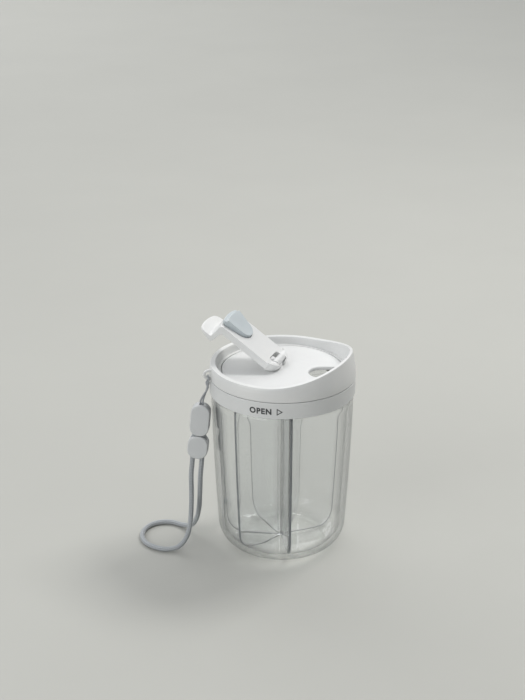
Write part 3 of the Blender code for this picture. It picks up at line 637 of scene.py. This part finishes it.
def bead_mesh(name, s0, s1, width, thick, corner, edge, mat):
    """Pillow bead: superellipse plan between two stations, flat faces with rounded edges."""
    L = s1 - s0
    plan = rounded_profile([(-width / 2, -L / 2, corner), (width / 2, -L / 2, corner),
                            (width / 2, L / 2, corner), (-width / 2, L / 2, corner)], True, 10)
    plan = densify(plan, 1.2)
    levels = []
    half = thick / 2
    k = 8
    for i in range(k + 1):
        a = -pi / 2 + (pi / 2) * i / k
        levels.append((-(half - edge) + edge * sin(a), edge * (1 - cos(a))))
    for i in range(k + 1):
        a = (pi / 2) * i / k
        levels.append(((half - edge) + edge * sin(a), edge * (1 - cos(a))))
    verts, faces = [], []
    n = len(plan)
    for z, ins in levels:
        for x, y in offset_outline(plan, ins):
            verts.append((x, z, y))
    for l in range(len(levels) - 1):
        for i in range(n):
            j = (i + 1) % n
            faces.append((l * n + i, l * n + j, (l + 1) * n + j, (l + 1) * n + i))
    faces.append(tuple(range(n))[::-1])
    faces.append(tuple(range((len(levels) - 1) * n, len(levels) * n)))
    ob = link_mesh(name, verts, faces, mat, weighted=False)
    c = on_strap((s0 + s1) / 2)
    up = -D
    m = Matrix(((E.x, F.x, up.x, c.x * MM), (E.y, F.y, up.y, c.y * MM), (E.z, F.z, up.z, c.z * MM), (0, 0, 0, 1)))
    return place(ob, m)


def rod(name, a, b, r, sides=32):
    """Cutting cylinder between two points in mm."""
    d = b - a
    bm = bmesh.new()
    m = Matrix.Translation((a + b) * 0.5 * MM) @ d.to_track_quat('Z', 'Y').to_matrix().to_4x4()
    bmesh.ops.create_cone(bm, cap_ends=True, segments=sides, radius1=r * MM, radius2=r * MM, depth=d.length * MM, matrix=m)
    me = bpy.data.meshes.new(name)
    bm.to_mesh(me)
    bm.free()
    ob = bpy.data.objects.new(name, me)
    bpy.context.scene.collection.objects.link(ob)
    return ob


bead_a = bead_mesh("strap_bead_long", 0.0, 18.6, 10.6, 6.0, 4.9, 0.7, M_BEAD)
bead_b = bead_mesh("strap_bead_slider", 19.0, 32.4, 11.2, 6.4, 4.9, 0.7, M_BEAD)
for e in (-STRAND, STRAND):
    cut(bead_a, rod("c", on_strap(11.5, e), on_strap(20.0, e), 1.62))
    cut(bead_b, rod("c", on_strap(17.0, e), on_strap(34.0, e), 1.62))
cut(bead_a, rod("c", on_strap(-1.0), on_strap(6.0), 1.3))
# pocket for the crimp inside the long bead
bm = bmesh.new()
c = on_strap(8.2) * MM
bmesh.ops.create_cube(bm, size=1.0, matrix=Matrix(((E.x, F.x, -D.x, c.x), (E.y, F.y, -D.y, c.y), (E.z, F.z, -D.z, c.z), (0, 0, 0, 1)))
                      @ Matrix.Diagonal((8.4 * MM, 3.4 * MM, 8.0 * MM, 1)))
me = bpy.data.meshes.new("pocket")
bm.to_mesh(me)
bm.free()
pocket = bpy.data.objects.new("pocket", me)
bpy.context.scene.collection.objects.link(pocket)
cut(bead_a, pocket)
soften(bead_a, 0.17, 2, M_BEAD)
soften(bead_b, 0.17, 2, M_BEAD)


# ====================================================================== cup
def outer_r(z):
    if z <= CORNER_B:
        k = (CORNER_B - z) / CORNER_B
        return R_BASE + CORNER_A * sqrt(max(0.0, 1 - k * k))
    t = (z - CORNER_B) / (90.0 - CORNER_B)
    return R_BASE + CORNER_A + 3.1 * (1 - max(0.0, 1 - t) ** 1.5)


def inner_r(z):
    ca, cb = 11.0, 12.0
    zf_ = z - FLOOR
    if zf_ <= cb:
        k = (cb - max(zf_, 0.0)) / cb
        return outer_r(FLOOR + cb) - WALL - ca + ca * sqrt(max(0.0, 1 - k * k))
    return outer_r(z) - WALL


prof = [(0.0, FLOOR), (8.0, FLOOR), (16.0, FLOOR), (inner_r(FLOOR) - 0.6, FLOOR)]
for i in range(1, 19):
    a = (pi / 2) * i / 18
    z = FLOOR + 12.0 * (1 - cos(a))
    prof.append((inner_r(z), z))
prof += [(inner_r(z), z) for z in np.linspace(17.0, 89.0, 25)]
prof += [(35.55, 90.0), (35.42, 90.8), (35.4, 91.6), (35.4, 94.0), (35.4, 98.0), (35.45, 98.2), (35.6, 98.35), (35.8, 98.4),
         (36.6, 98.4), (36.8, 98.35), (36.95, 98.2)]
prof += [(37.0, z) for z in np.linspace(98.0, 92.2, 26)]
prof += [(37.0, 91.9), (37.08, 91.76), (37.25, 91.7), (38.5, 91.7), (38.85, 91.62), (39.03, 91.4), (39.08, 91.0)]
prof += [(outer_r(z), z) for z in np.linspace(89.5, 16.0, 28)]
for i in range(0, 22):
    a = (pi / 2) * i / 22
    z = CORNER_B * (1 - sin(a))
    prof.append((outer_r(z), z))
prof += [(R_BASE, 0.0), (16.0, 0.0), (8.0, 0.0), (0.0, 0.0)]


def thread(r, az, z):
    """Three quick-thread ridges on the neck."""
    if 36.98 < r < 37.02 and 92.1 < z < 98.1:
        for s in range(3):
            phi = (az - s * 120.0) % 360.0
            if phi > 110.0:
                phi -= 360.0
            if -4.0 < phi < 104.0:
                zc = 94.2 + LEAD * phi / 360.0
                d = abs(z - zc)
                k = max(0.0, min(1.0, (0.82 - d) / 0.42))
                k = k * k * (3 - 2 * k)
                e = max(0.0, min(1.0, (phi + 4.0) / 8.0, (104.0 - phi) / 8.0))
                r += 1.05 * k * e * e * (3 - 2 * e)
    return r, z


cup = lathe("cup_clear", prof, 180, M_CUP, move=thread, closed=False, weighted=False)

# ============================================================= blade insert
def star(r_tip, t, f=0.25):
    """Cross-section of the insert: blades with small fillets between them and a
    rounded outer end."""
    pts = []
    ht = t / 2
    half = pi / PITCHES
    cx, cy = (ht + f) / math.tan(half), ht + f
    root = [(cx + f * cos(a), cy + f * sin(a)) for a in np.linspace(pi + half, 1.5 * pi, 4)]
    tip = [(r_tip - 0.75 * ht * (1 - sin(a)), ht * cos(a)) for a in np.linspace(0, pi / 2, 6)]
    tip[-1] = (r_tip, 0.0)
    path = root + [(r_tip * k, ht) for k in (0.3, 0.6, 0.85)] + tip
    for b in range(BLADES):
        az = radians(AZ_BLADE0 + b * 360.0 / PITCHES)
        d, n = Vector((cos(az), sin(az))), Vector((-sin(az), cos(az)))
        for x, y in [(x, -y) for x, y in path] + list(reversed(path[:-1])):
            q = d * x + n * y
            pts.append((q.x, q.y))
    # plain hub surface in the double bay
    r_hub = math.hypot(*root[0])
    az = radians(AZ_BLADE0 + (BLADES - 1) * 360.0 / PITCHES)
    for k in range(1, 6):
        a = az + half + 2 * half * k / 6
        pts.append((r_hub * cos(a), r_hub * sin(a)))
    return pts


levels = []
z0 = FLOOR + 0.3
levels.append((z0, inner_r(FLOOR) - 1.0, 1.15))
levels.append((z0 + 0.12, inner_r(FLOOR) - 0.55, 1.35))
for k in (0.04, 0.09, 0.16, 0.25, 0.36, 0.5, 0.66, 0.82, 1.0):
    z = FLOOR + 12.0 * k
    levels.append((z + 0.3, inner_r(z) - 0.38, 1.35))
for z in (18.0, 24.0, 34.0, 46.0, 58.0, 70.0, 82.0, 88.0):
    levels.append((z, inner_r(z) - 0.38, 1.3))
levels += [(91.0, 35.03, 1.25), (96.9, 35.03, 1.25), (97.3, 34.9, 1.25), (97.52, 34.6, 1.2), (97.6, 34.2, 1.1),
           (97.62, 31.9, 1.2), (97.9, 31.5, 1.2), (98.4, 31.4, 1.2), (101.8, 31.35, 1.2), (102.2, 31.2, 1.1), (102.4, 30.9, 0.9)]
verts, faces = [], []
n0 = None
for z, r, t in levels:
    pts = star(r, t)
    n0 = len(pts)
    verts += [(x, y, z) for x, y in pts]
for l in range(len(levels) - 1):
    for i in range(n0):
        j = (i + 1) % n0
        faces.append((l * n0 + i, l * n0 + j, (l + 1) * n0 + j, (l + 1) * n0 + i))
faces.append(tuple(range(n0))[::-1])
faces.append(tuple(range((len(levels) - 1) * n0, len(levels) * n0)))
blades = link_mesh("blade_insert", verts, faces, M_BLADES, smooth_angle=40.0, weighted=False)
# the blades' outer edges, and their downward faces low in the cup, get an opaque dark grey in a matt finish: painted
# shade standing in for the dark lines that clear edges show
blades.data.materials.append(M_BLADE_EDGE_SHADE)
for f in blades.data.polygons:
    c = f.center / MM
    r = math.hypot(c.x, c.y)
    out = Vector((c.x / max(r, 1e-6), c.y / max(r, 1e-6), 0))
    low = f.normal.z < -0.3 and f.area > 0 and c.z < 15.0 and r > 5.0 and abs(f.normal.z) < 0.999
    if c.z < 91.0 and r > 5.0 and (f.normal.dot(out) > 0.55 or low):
        f.material_index = 1

# =================================================================== collar
collar_prof = rounded_profile([
    (40.0, 100.9, 0.45), (40.0, 92.0, 0.35), (38.5, 92.0, 0.25), (38.5, 99.8, 0.3), (33.6, 99.8, 0.2), (33.6, 100.9, 0.2)],
    True, 5)
collar_prof = densify(collar_prof, 0.6)


def notches(r, az, z):
    if z > 100.6 and 35.4 < r < 38.4:
        d = min(abs((az - 160.0 - k * 360.0 / PITCHES + 180.0) % 360.0 - 180.0) for k in range(PITCHES))
        z -= 0.5 * math.exp(-(d * 0.644 / 0.9) ** 2) * max(0.0, 1 - ((r - 36.9) / 1.4) ** 2)
    return r, z


collar = lathe("collar_ring", collar_prof, 216, M_COLLAR, move=notches)

# ================================================================ lid shell
shell_pts = [
    (39.2, 108.5, 0.22), (39.6, 107.4, 1.5), (39.9, 105.8, 4.0), (40.0, 104.2, 2.0),
    (40.0, 101.2, 0.4), (38.6, 101.2, 0.15),
    (38.6, 106.5, 0.2), (37.7, 106.8, 0.2), (36.6, 103.6, 0.2), (35.4, 103.3, 0.2), (35.4, 101.2, 0.1),
    (35.0, 101.2, 0.1), (35.0, 102.1, 0.1), (33.5, 102.1, 0.1), (33.5, 101.2, 0.1), (33.2, 101.2, 0.1),
    (33.2, 99.8, 0.2), (31.9, 99.8, 0.3), (31.9, 102.7, 0.1), (33.6, 102.7, 0.1),
    (33.6, 104.6, 0.3), (35.25, 104.65, 0.12), (35.6, 105.7, 1.0), (36.1, 107.5, 1.0), (36.6, 108.5, 0.3)]
shell_prof = densify(rounded_profile(shell_pts, True, 5), 0.8)


def lip(az):
    d = (az - AZ_OPEN + 180.0) % 360.0 - 180.0
    if abs(d) >= LIP_HALF:
        return 0.0
    return LIP_H * cos(radians(d * 90.0 / LIP_HALF)) ** 2


def lift(r, az, z):
    if z > Z_LIFT0 and r > 33.7 and not (36.0 < r < 38.62 and z < 106.9):
        k = (z - Z_LIFT0) / (Z_RIM - Z_LIFT0)
        z0_ = z
        z += lip(az) * k
        if r > 37.5:
            r *= 1.0 - 0.032 * k * lip(az) / LIP_H
    return r, z


shell = lathe("lid_ring", shell_prof, 240, M_LID, move=lift)

# eyelet: a bow of round section standing out of the band
ed = polar(AZ_EYE)
bow = []
for i in range(25):
    a = radians(-90.0 + 180.0 * i / 24)
    r = R_EYE - 0.7 + 4.3 * max(0.0, cos(a)) ** 0.8
    bow.append(Vector((ed.x * r, ed.y * r, Z_EYE + 2.45 * sin(a))))
eyelet, _ = tube_mesh("lid_eyelet", bow, 1.56, M_LID, sides=20, sub=2)

# ================================================================= lid deck
def mouth_outline(n=31, c=22.9, off=1.3, r=7.6, far=24.0, near=14.0, w_far=11.0, u_out=37.0):
    """The deck's opening: a round inner end about (c, off), sides opening by
    far and near degrees, the far one held inside the lever's width."""
    arc = [(c + r * cos(a), off + r * sin(a)) for a in
           [radians(90.0 + far + (180.0 - far - near) * i / (n - 1)) for i in range(n)]]
    u1 = arc[0][0] + (w_far - arc[0][1]) / math.tan(radians(far))
    kink = [(u1 + 1.6, w_far), (u1 + 0.8, w_far - 0.06), (u1, w_far - 0.22), (u1 - 0.7, w_far - 0.46)]
    w_near = arc[-1][1] - (u_out - arc[-1][0]) * math.tan(radians(near))
    return [(u_out, w_far)] + kink + arc + [(u_out, w_near)]


CROWN = 0.35
deck_prof = [(0.0, Z_DECK + CROWN)]
deck_prof += [(r, Z_DECK + CROWN * (1 - (r / 33.0) ** 2)) for r in (6.0, 12.0, 18.0, 24.0, 29.0, 32.2)]
deck_prof += [(32.75, Z_DECK - 0.02), (33.02, Z_DECK - 0.1), (33.2, Z_DECK - 0.28), (33.28, Z_DECK - 0.55), (33.28, Z_DECK - 1.2), (33.1, Z_DECK - T_DECK),
              (24.0, Z_DECK - T_DECK), (0.0, Z_DECK - T_DECK)]
deck = lathe("deck_plate", deck_prof, 240, M_DECK, closed=False, weighted=False)
mouth_line = mouth_outline()
mouth = prism("mouth", mouth_line, 0, 0, levels=[
    (101.5, None), (104.0, None), (104.35, lambda p: offset_outline(p, -0.1)), (104.7, lambda p: offset_outline(p, -0.32)),
    (105.2, lambda p: offset_outline(p, -0.8)), (106.5, lambda p: offset_outline(p, -0.9))])
place(mouth, M_UW)
cut(deck, mouth)
R_LUG, LUG_W, NECK_W, NECK_T, GAP = 2.15, 10.8, 3.8, 1.75, 0.3
neck_pts = [(HINGE_U - NECK_T, HINGE_Z), (HINGE_U - NECK_T, Z_DECK + 1.5), (HINGE_U - NECK_T - 0.2, Z_DECK + 0.95),
            (HINGE_U - NECK_T - 0.75, Z_DECK + 0.45), (HINGE_U - NECK_T - 1.0, Z_DECK + 0.3), (HINGE_U - NECK_T - 1.0, Z_DECK - 0.6)]
neck_pts += [(2 * HINGE_U - x, z) for x, z in reversed(neck_pts)]
n = len(neck_pts)
verts = [(x, w, z) for w in (-NECK_W / 2, NECK_W / 2) for x, z in neck_pts]
faces = [(i, (i + 1) % n, n + (i + 1) % n, n + i) for i in range(n)] + [tuple(range(n))[::-1], tuple(range(n, 2 * n))]
lug = link_mesh("lug", verts, faces, M_DECK, weighted=False)
place(lug, M_UW)
cut(lug, rod("c", HINGE / MM - W * (LUG_W / 2), HINGE / MM + W * (LUG_W / 2), R_LUG, 64), 'UNION')
cut(lug, rod("c", HINGE / MM - W * 8.0, HINGE / MM + W * 8.0, 1.0, 40))
soften(lug, 0.14, 3, M_DECK)
cut(deck, lug, 'UNION')
deck.data.shade_smooth()
deck.data.set_sharp_from_angle(angle=radians(32))

# ============================================================ rings and seals
seal_cup = lathe("mouth_seal", densify(rounded_profile(
    [(36.9, 99.5, 0.3), (36.9, 98.7, 0.3), (35.5, 98.7, 0.3), (35.5, 99.5, 0.3)], True, 5), 0.4), 180, M_SEAL, weighted=False)
ring = lathe("lid_keeper", densify(rounded_profile(
    [(35.0, 98.4, 0.25), (34.6, 98.0, 0.25), (31.9, 98.0, 0.3), (31.9, 99.5, 0.25), (35.0, 99.5, 0.25)], True, 5), 0.5),
    180, M_LID)
seal_rot = lathe("turning_seal", rounded_profile(
    [(34.7, 101.5, 0.2), (34.5, 101.2, 0.1), (34.0, 101.2, 0.1), (33.8, 101.5, 0.2), (34.0, 101.8, 0.1), (34.5, 101.8, 0.1)],
    True, 4), 180, M_SEAL, weighted=False)
leaf = rounded_profile([(-5.4, 102.95), (-4.3, 102.95, 0.9), (-1.7, 102.1, 0.9), (-0.8, 101.62, 0.6), (0.0, 101.55, 0.5),
                        (0.8, 101.62, 0.6), (1.7, 102.1, 0.9), (4.3, 102.95, 0.9), (5.4, 102.95), (5.4, 102.6), (4.4, 102.6, 1.1),
                        (1.9, 101.75, 1.0), (0.9, 101.25, 0.7), (0.0, 101.2, 0.7), (-0.9, 101.25, 0.7), (-1.9, 101.75, 1.0),
                        (-4.4, 102.6, 1.1), (-5.4, 102.6)], True, 5)
n = len(leaf)
verts = [(x, z, w) for w in (-0.9, 0.9) for x, z in leaf]
faces = [(i, (i + 1) % n, n + (i + 1) % n, n + i) for i in range(n)] + [tuple(range(n))[::-1], tuple(range(n, 2 * n))]
spring = link_mesh("click_leaf", verts, faces, M_STEEL, weighted=False)
tt, rr = polar(250.0), polar(160.0)
place(spring, Matrix.Translation(rr * (36.9 * MM)) @ Matrix(((tt.x, 0, rr.x, 0), (tt.y, 0, rr.y, 0), (0, 1, 0, 0), (0, 0, 0, 1))))
bv = spring.modifiers.new("edge", 'BEVEL')
bv.width = 0.08 * MM
bv.segments = 2
bv.limit_method = 'ANGLE'

# ==================================================================== lever
R_ARC, LEVER_W, R_HEEL = 36.0, 22.6, 3.3


def lever_shift(s, w):
    out = 0.0
    k = min(1.0, max(0.0, (s - 27.0) / 7.0))
    out += k * (sqrt(R_ARC ** 2 - w * w) - R_ARC)
    hw = LEVER_W / 2
    rc = 6.5
    a = abs(w) - (hw - rc)
    if a > 0 and s < 2.0:
        out += (rc - sqrt(max(0.0, rc * rc - a * a))) * min(1.0, (2.0 - s) / 5.0)
    rt = 3.0
    a = abs(w) - (hw - rt)
    if a > 0 and s > 40.0:
        out -= (rt - sqrt(max(0.0, rt * rt - a * a))) * min(1.0, (s - 40.0) / 4.0)
    return out


heel = [(R_HEEL * cos(radians(a)), R_HEEL * sin(radians(a)), 0) for a in np.linspace(118.5, 215, 14)]
side = [(33.6, LEVER_T1, 2.2), (34.5, 3.5, 1.6), (35.2, 4.8, 1.5), (35.9, 8.2, 2.5), (36.3, 9.8, 1.6), (37.0, 10.7, 1.2),
        (38.2, 10.85, 2.0), (41.4, 10.4, 6.0), (44.2, 9.75, 3.0), (45.1, 9.35, 0.7), (45.4, 8.85, 0.5), (45.1, 8.4, 0.5),
        (44.4, 8.2, 1.0), (39.3, 8.2, 1.0), (38.6, 7.95, 0.8), (38.25, 7.2, 1.2), (37.4, 0.8, 2.0), (36.9, -0.5, 0.8),
        (35.9, LEVER_T0, 0.8), (2.0, LEVER_T0, 2.0), (0.2, -1.9, 1.0), (-1.5, -1.9, 0.5)]
side = rounded_profile(side, False, 4) + [(x, y) for x, y, _ in reversed(heel)] + [(8.0, LEVER_T1)]
side = densify(side, 0.9)
ws = list(np.linspace(-LEVER_W / 2, LEVER_W / 2, 41))
n = len(side)
verts = [(s + lever_shift(s, w), w, t) for w in ws for s, t in side]
faces = []
for l in range(len(ws) - 1):
    for i in range(n):
        j = (i + 1) % n
        faces.append((l * n + i, l * n + j, (l + 1) * n + j, (l + 1) * n + i))
faces += [tuple(range(n))[::-1], tuple(range((len(ws) - 1) * n, len(ws) * n))]
lever = link_mesh("flip_lever", verts, faces, M_LEVER, weighted=False)


def plug_outline(grow=0.0, r_out=33.0, n=21, c=23.7, r=6.2, half_deg=13.5):
    """Narrow wedge with a round inner end and an outer end that follows the
    lid's round edge.  Coordinates along and across the lever from the lid's axis."""
    half = radians(half_deg)
    r += grow
    r_out += grow
    inner = [(c + r * cos(a), r * sin(a)) for a in
             [pi / 2 + half + (pi / 2 - half) * i / (n - 1) for i in range(n)]]
    x0, y0 = inner[0]
    x1 = x0
    while math.hypot(x1, y0 + (x1 - x0) * math.tan(half)) < r_out - 1.0:
        x1 += 0.05
    y1 = y0 + (x1 - x0) * math.tan(half)
    outer = [(sqrt(r_out ** 2 - w * w), w) for w in (0.0, 1.5, 3.0, 4.5, 6.0, y1 - 1.2, y1 - 0.7)]
    top = outer + [(x1 + 0.88, y1 - 0.32), (x1 + 0.65, y1), (x1 + 0.35, y1 + 0.06), (x1, y1)] + inner
    return top + [(x, -y) for x, y in reversed(top[1:-1])]


POCKET_T = 1.5
cut(lever, prism("pocket", [(x - HINGE_U, y) for x, y in plug_outline(GAP)], -3.0, POCKET_T))
window = rounded_profile([(-R_LUG - GAP, -LUG_W / 2 - GAP, 0.5), (4.3, -LUG_W / 2 - GAP, 1.6), (4.3, LUG_W / 2 + GAP, 1.6),
                          (-R_LUG - GAP, LUG_W / 2 + GAP, 0.5)], True, 6)
cut(lever, prism("window", window, -4.0, 6.0))
cut(lever, prism("slot", [(-6, -NECK_W / 2 - GAP), (0, -NECK_W / 2 - GAP), (0, NECK_W / 2 + GAP), (-6, NECK_W / 2 + GAP)], -4.0, 6.0))
cut(lever, rod("c", Vector((0, -7.9, 0)), Vector((0, 7.9, 0)), 1.0, 40))
soften(lever, 0.2, 3, M_LEVER)
place(lever, M_FLIP)

pin = lathe("pin", [(0.0, 7.6), (0.55, 7.6), (0.78, 7.5), (0.9, 7.25), (0.9, 4.0), (0.9, -4.0), (0.9, -7.25), (0.78, -7.5),
                    (0.55, -7.6), (0.0, -7.6)], 48, M_STEEL, closed=False, weighted=False)
place(pin, M_PIN)


# ===================================================================== plug
# a foot in the pocket, a flange over the lid's ledge, and a lower part that
# enters the opening; the face slopes down outwards
FOOT_T, FLANGE_T = LEVER_T0 - GAP, -3.3
line = [(x - HINGE_U, y) for x, y in plug_outline(r_out=34.8)]
plug = prism("plug", line, POCKET_T - GAP - 8.2, POCKET_T - GAP, M_SEAL)
face = prism("face", [(-20, -12), (20, -12), (20, 12), (-20, 12)], -9.0, 0.0)
place(face, Matrix.Translation((28.0 * MM, 0, -3.75 * MM)) @ Matrix.Rotation(radians(8.4), 4, 'Y'))
cut(plug, face)
beyond = [(33.0 * cos(radians(a)) - HINGE_U, 33.0 * sin(radians(a))) for a in range(20, -21, -1)]
beyond += [(41.0, beyond[-1][1]), (41.0, beyond[0][1])]
cut(plug, prism("foot_cut", beyond, FOOT_T, FOOT_T + 4.0))
cut(plug, prism("step_cut", beyond, FLANGE_T - 4.0, FLANGE_T))
soften(plug, 0.17, 4, M_SEAL)
place(plug, M_FLIP)

# ============================================================ raised lettering
def wrapped(name, bm, radius, mat):
    """Mesh drawn flat (x along, y up, z out; mm), wrapped on the collar."""
    for v in bm.verts:
        a = radians(v.co.x)
        rad = radius + v.co.z
        v.co = Vector((rad * cos(a) * MM, rad * sin(a) * MM, v.co.y * MM))
    me = bpy.data.meshes.new(name)
    bmesh.ops.recalc_face_normals(bm, faces=bm.faces[:])
    bm.to_mesh(me)
    bm.free()
    me.materials.append(mat)
    ob = bpy.data.objects.new(name, me)
    bpy.context.scene.collection.objects.link(ob)
    return ob


cu = bpy.data.curves.new("word", 'FONT')
cu.body = "OPEN"
cu.size = 1.0
cu.extrude = 0.5
cu.offset = 0.04
cu.space_character = 1.16
cu.resolution_u = 6
tx = bpy.data.objects.new("word", cu)
bpy.context.scene.collection.objects.link(tx)
bpy.context.view_layer.update()
me = bpy.data.meshes.new_from_object(tx.evaluated_get(bpy.context.evaluated_depsgraph_get()))
bpy.data.objects.remove(tx, do_unlink=True)
bm = bmesh.new()
bm.from_mesh(me)
bpy.data.meshes.remove(me)
xs = [v.co.x for v in bm.verts]
ys = [v.co.y for v in bm.verts]
A0, A1, L0, L1 = -115.3, -98.1, 94.35, 97.75
for v in bm.verts:
    v.co = Vector((A0 + (A1 - A0) * (v.co.x - min(xs)) / (max(xs) - min(xs)),
                   L0 + (L1 - L0) * (v.co.y - min(ys)) / (max(ys) - min(ys)),
                   -0.10 if v.co.z < 0 else 0.09))
word = wrapped("collar_word", bm, 40.0, M_INK)

# arrow head: a triangular outline pointing to the right
bm = bmesh.new()
outer = [(-94.1, 94.15), (-94.1, 98.05), (-89.5, 96.1)]
cx, cy = sum(p[0] for p in outer) / 3, sum(p[1] for p in outer) / 3
inner = [(cx + (x - cx) * 0.6, cy + (y - cy) * 0.6) for x, y in outer]
vo = [[bm.verts.new((x, y, z)) for x, y in outer] for z in (-0.10, 0.09)]
vi = [[bm.verts.new((x, y, z)) for x, y in inner] for z in (-0.10, 0.09)]
for i in range(3):
    j = (i + 1) % 3
    bm.faces.new((vo[1][i], vo[1][j], vi[1][j], vi[1][i]))
    bm.faces.new((vo[0][j], vo[0][i], vi[0][i], vi[0][j]))
    bm.faces.new((vo[0][i], vo[0][j], vo[1][j], vo[1][i]))
    bm.faces.new((vi[0][j], vi[0][i], vi[1][i], vi[1][j]))
arrow = wrapped("collar_arrow", bm, 40.0, M_INK)

# ============================================================== frame wiring
for ob, body, node, slot in (
        (cup, "cup_body", "cup", None), (blades, "cup_body", "divider_insert", None),
        (seal_cup, "thread_carrier", "cup_seal", None),
        (collar, "collar", "screw_collar", None), (word, "collar", None, None), (arrow, "collar", None, None),
        (shell, "lid", "lid_shell", None), (eyelet, "lid", "lid_shell", None), (deck, "lid", "lid_deck", None),
        (ring, "lid", "retaining_ring", None), (seal_rot, "lid", "rotary_seal", None), (spring, "lid", "click_spring", None),
        (pin, "lid", "hinge_pin", None), (thin, "lid", "hitch_cord", None), (knot, "lid", "hitch_cord", None), (bead_a, "lid", "long_bead", None),
        (loop, "lid", "wrist_loop", None), (bead_b, "slider", "slider_bead", None),
        (lever, "lever_body", "lever", None), (plug, "lever_body", "plug_seal", None)):
    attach(ob, body)
    if node:
        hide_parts(node)
crimp = nodes["strap_crimp"]
crimp.data.materials.clear()
crimp.data.materials.append(M_STEEL)

# ==================================================================== stage
me = bpy.data.meshes.new("floor")
me.from_pydata([(-8, -6, -0.00015), (8, -6, -0.00015), (8, 10, -0.00015), (-8, 10, -0.00015)], [], [(0, 1, 2, 3)])
floor = bpy.data.objects.new("floor", me)
bpy.context.scene.collection.objects.link(floor)
fm = Nodes("floor_paper")
cloud = fm.noise(6.0, 4.0, 0.6)
fine = fm.noise(700.0, 3.0, 0.6)
fm.set(Base_Color=fm.mixc(fm.remap(cloud, 0.3, 0.7, 0.0, 1.0), (0.465, 0.467, 0.436), (0.452, 0.454, 0.424)),
       Normal=fm.bump(fine, 0.15, 0.00004))
fm.b.inputs["Roughness"].default_value = 0.85
me.materials.append(fm.m)

world = bpy.data.worlds.new("studio")
bpy.context.scene.world = world
world.use_nodes = True
wt = world.node_tree
bg = wt.nodes["Background"]
tc = wt.nodes.new("ShaderNodeTexCoord")
sp = wt.nodes.new("ShaderNodeSeparateXYZ")
wt.links.new(tc.outputs["Generated"], sp.inputs[0])
ramp = wt.nodes.new("ShaderNodeValToRGB")
ramp.color_ramp.elements[0].position = 0.0
ramp.color_ramp.elements[0].color = (0.20, 0.205, 0.21, 1)
ramp.color_ramp.elements[1].position = 0.75
ramp.color_ramp.elements[1].color = (0.95, 0.96, 0.98, 1)
wt.links.new(sp.outputs[2], ramp.inputs[0])
wt.links.new(ramp.outputs[0], bg.inputs["Color"])
bg.inputs["Strength"].default_value = 0.58


def area(name, loc, look, size, power, colour=(1, 1, 1)):
    d = bpy.data.lights.new(name, 'AREA')
    d.shape = 'RECTANGLE'
    d.size, d.size_y = size
    d.energy = power
    d.color = colour
    o = bpy.data.objects.new(name, d)
    bpy.context.scene.collection.objects.link(o)
    o.location = loc
    o.rotation_euler = (Vector(look) - Vector(loc)).to_track_quat('-Z', 'Y').to_euler()
    return o


key = area("key", (0.55, 0.40, 1.10), (0, 0, 0.08), (0.35, 0.35), 6.7, (1.0, 0.985, 0.96))
fill = area("fill", (-0.75, -0.75, 0.55), (0, 0, 0.06), (0.9, 0.9), 5.8, (0.98, 0.985, 0.99))
back = area("back", (-1.2, 2.0, 1.1), (0, 0, 0.06), (1.8, 1.0), 11.0)
far = area("far", (0.0, 2.2, 2.3), (0, 1.6, 0), (4.0, 2.6), 34.0, (0.99, 0.995, 1.0))

sc = bpy.context.scene
sc.view_settings.view_transform = 'Standard'
sc.cycles.max_bounces = 24
sc.cycles.transmission_bounces = 24
sc.cycles.transparent_max_bounces = 16
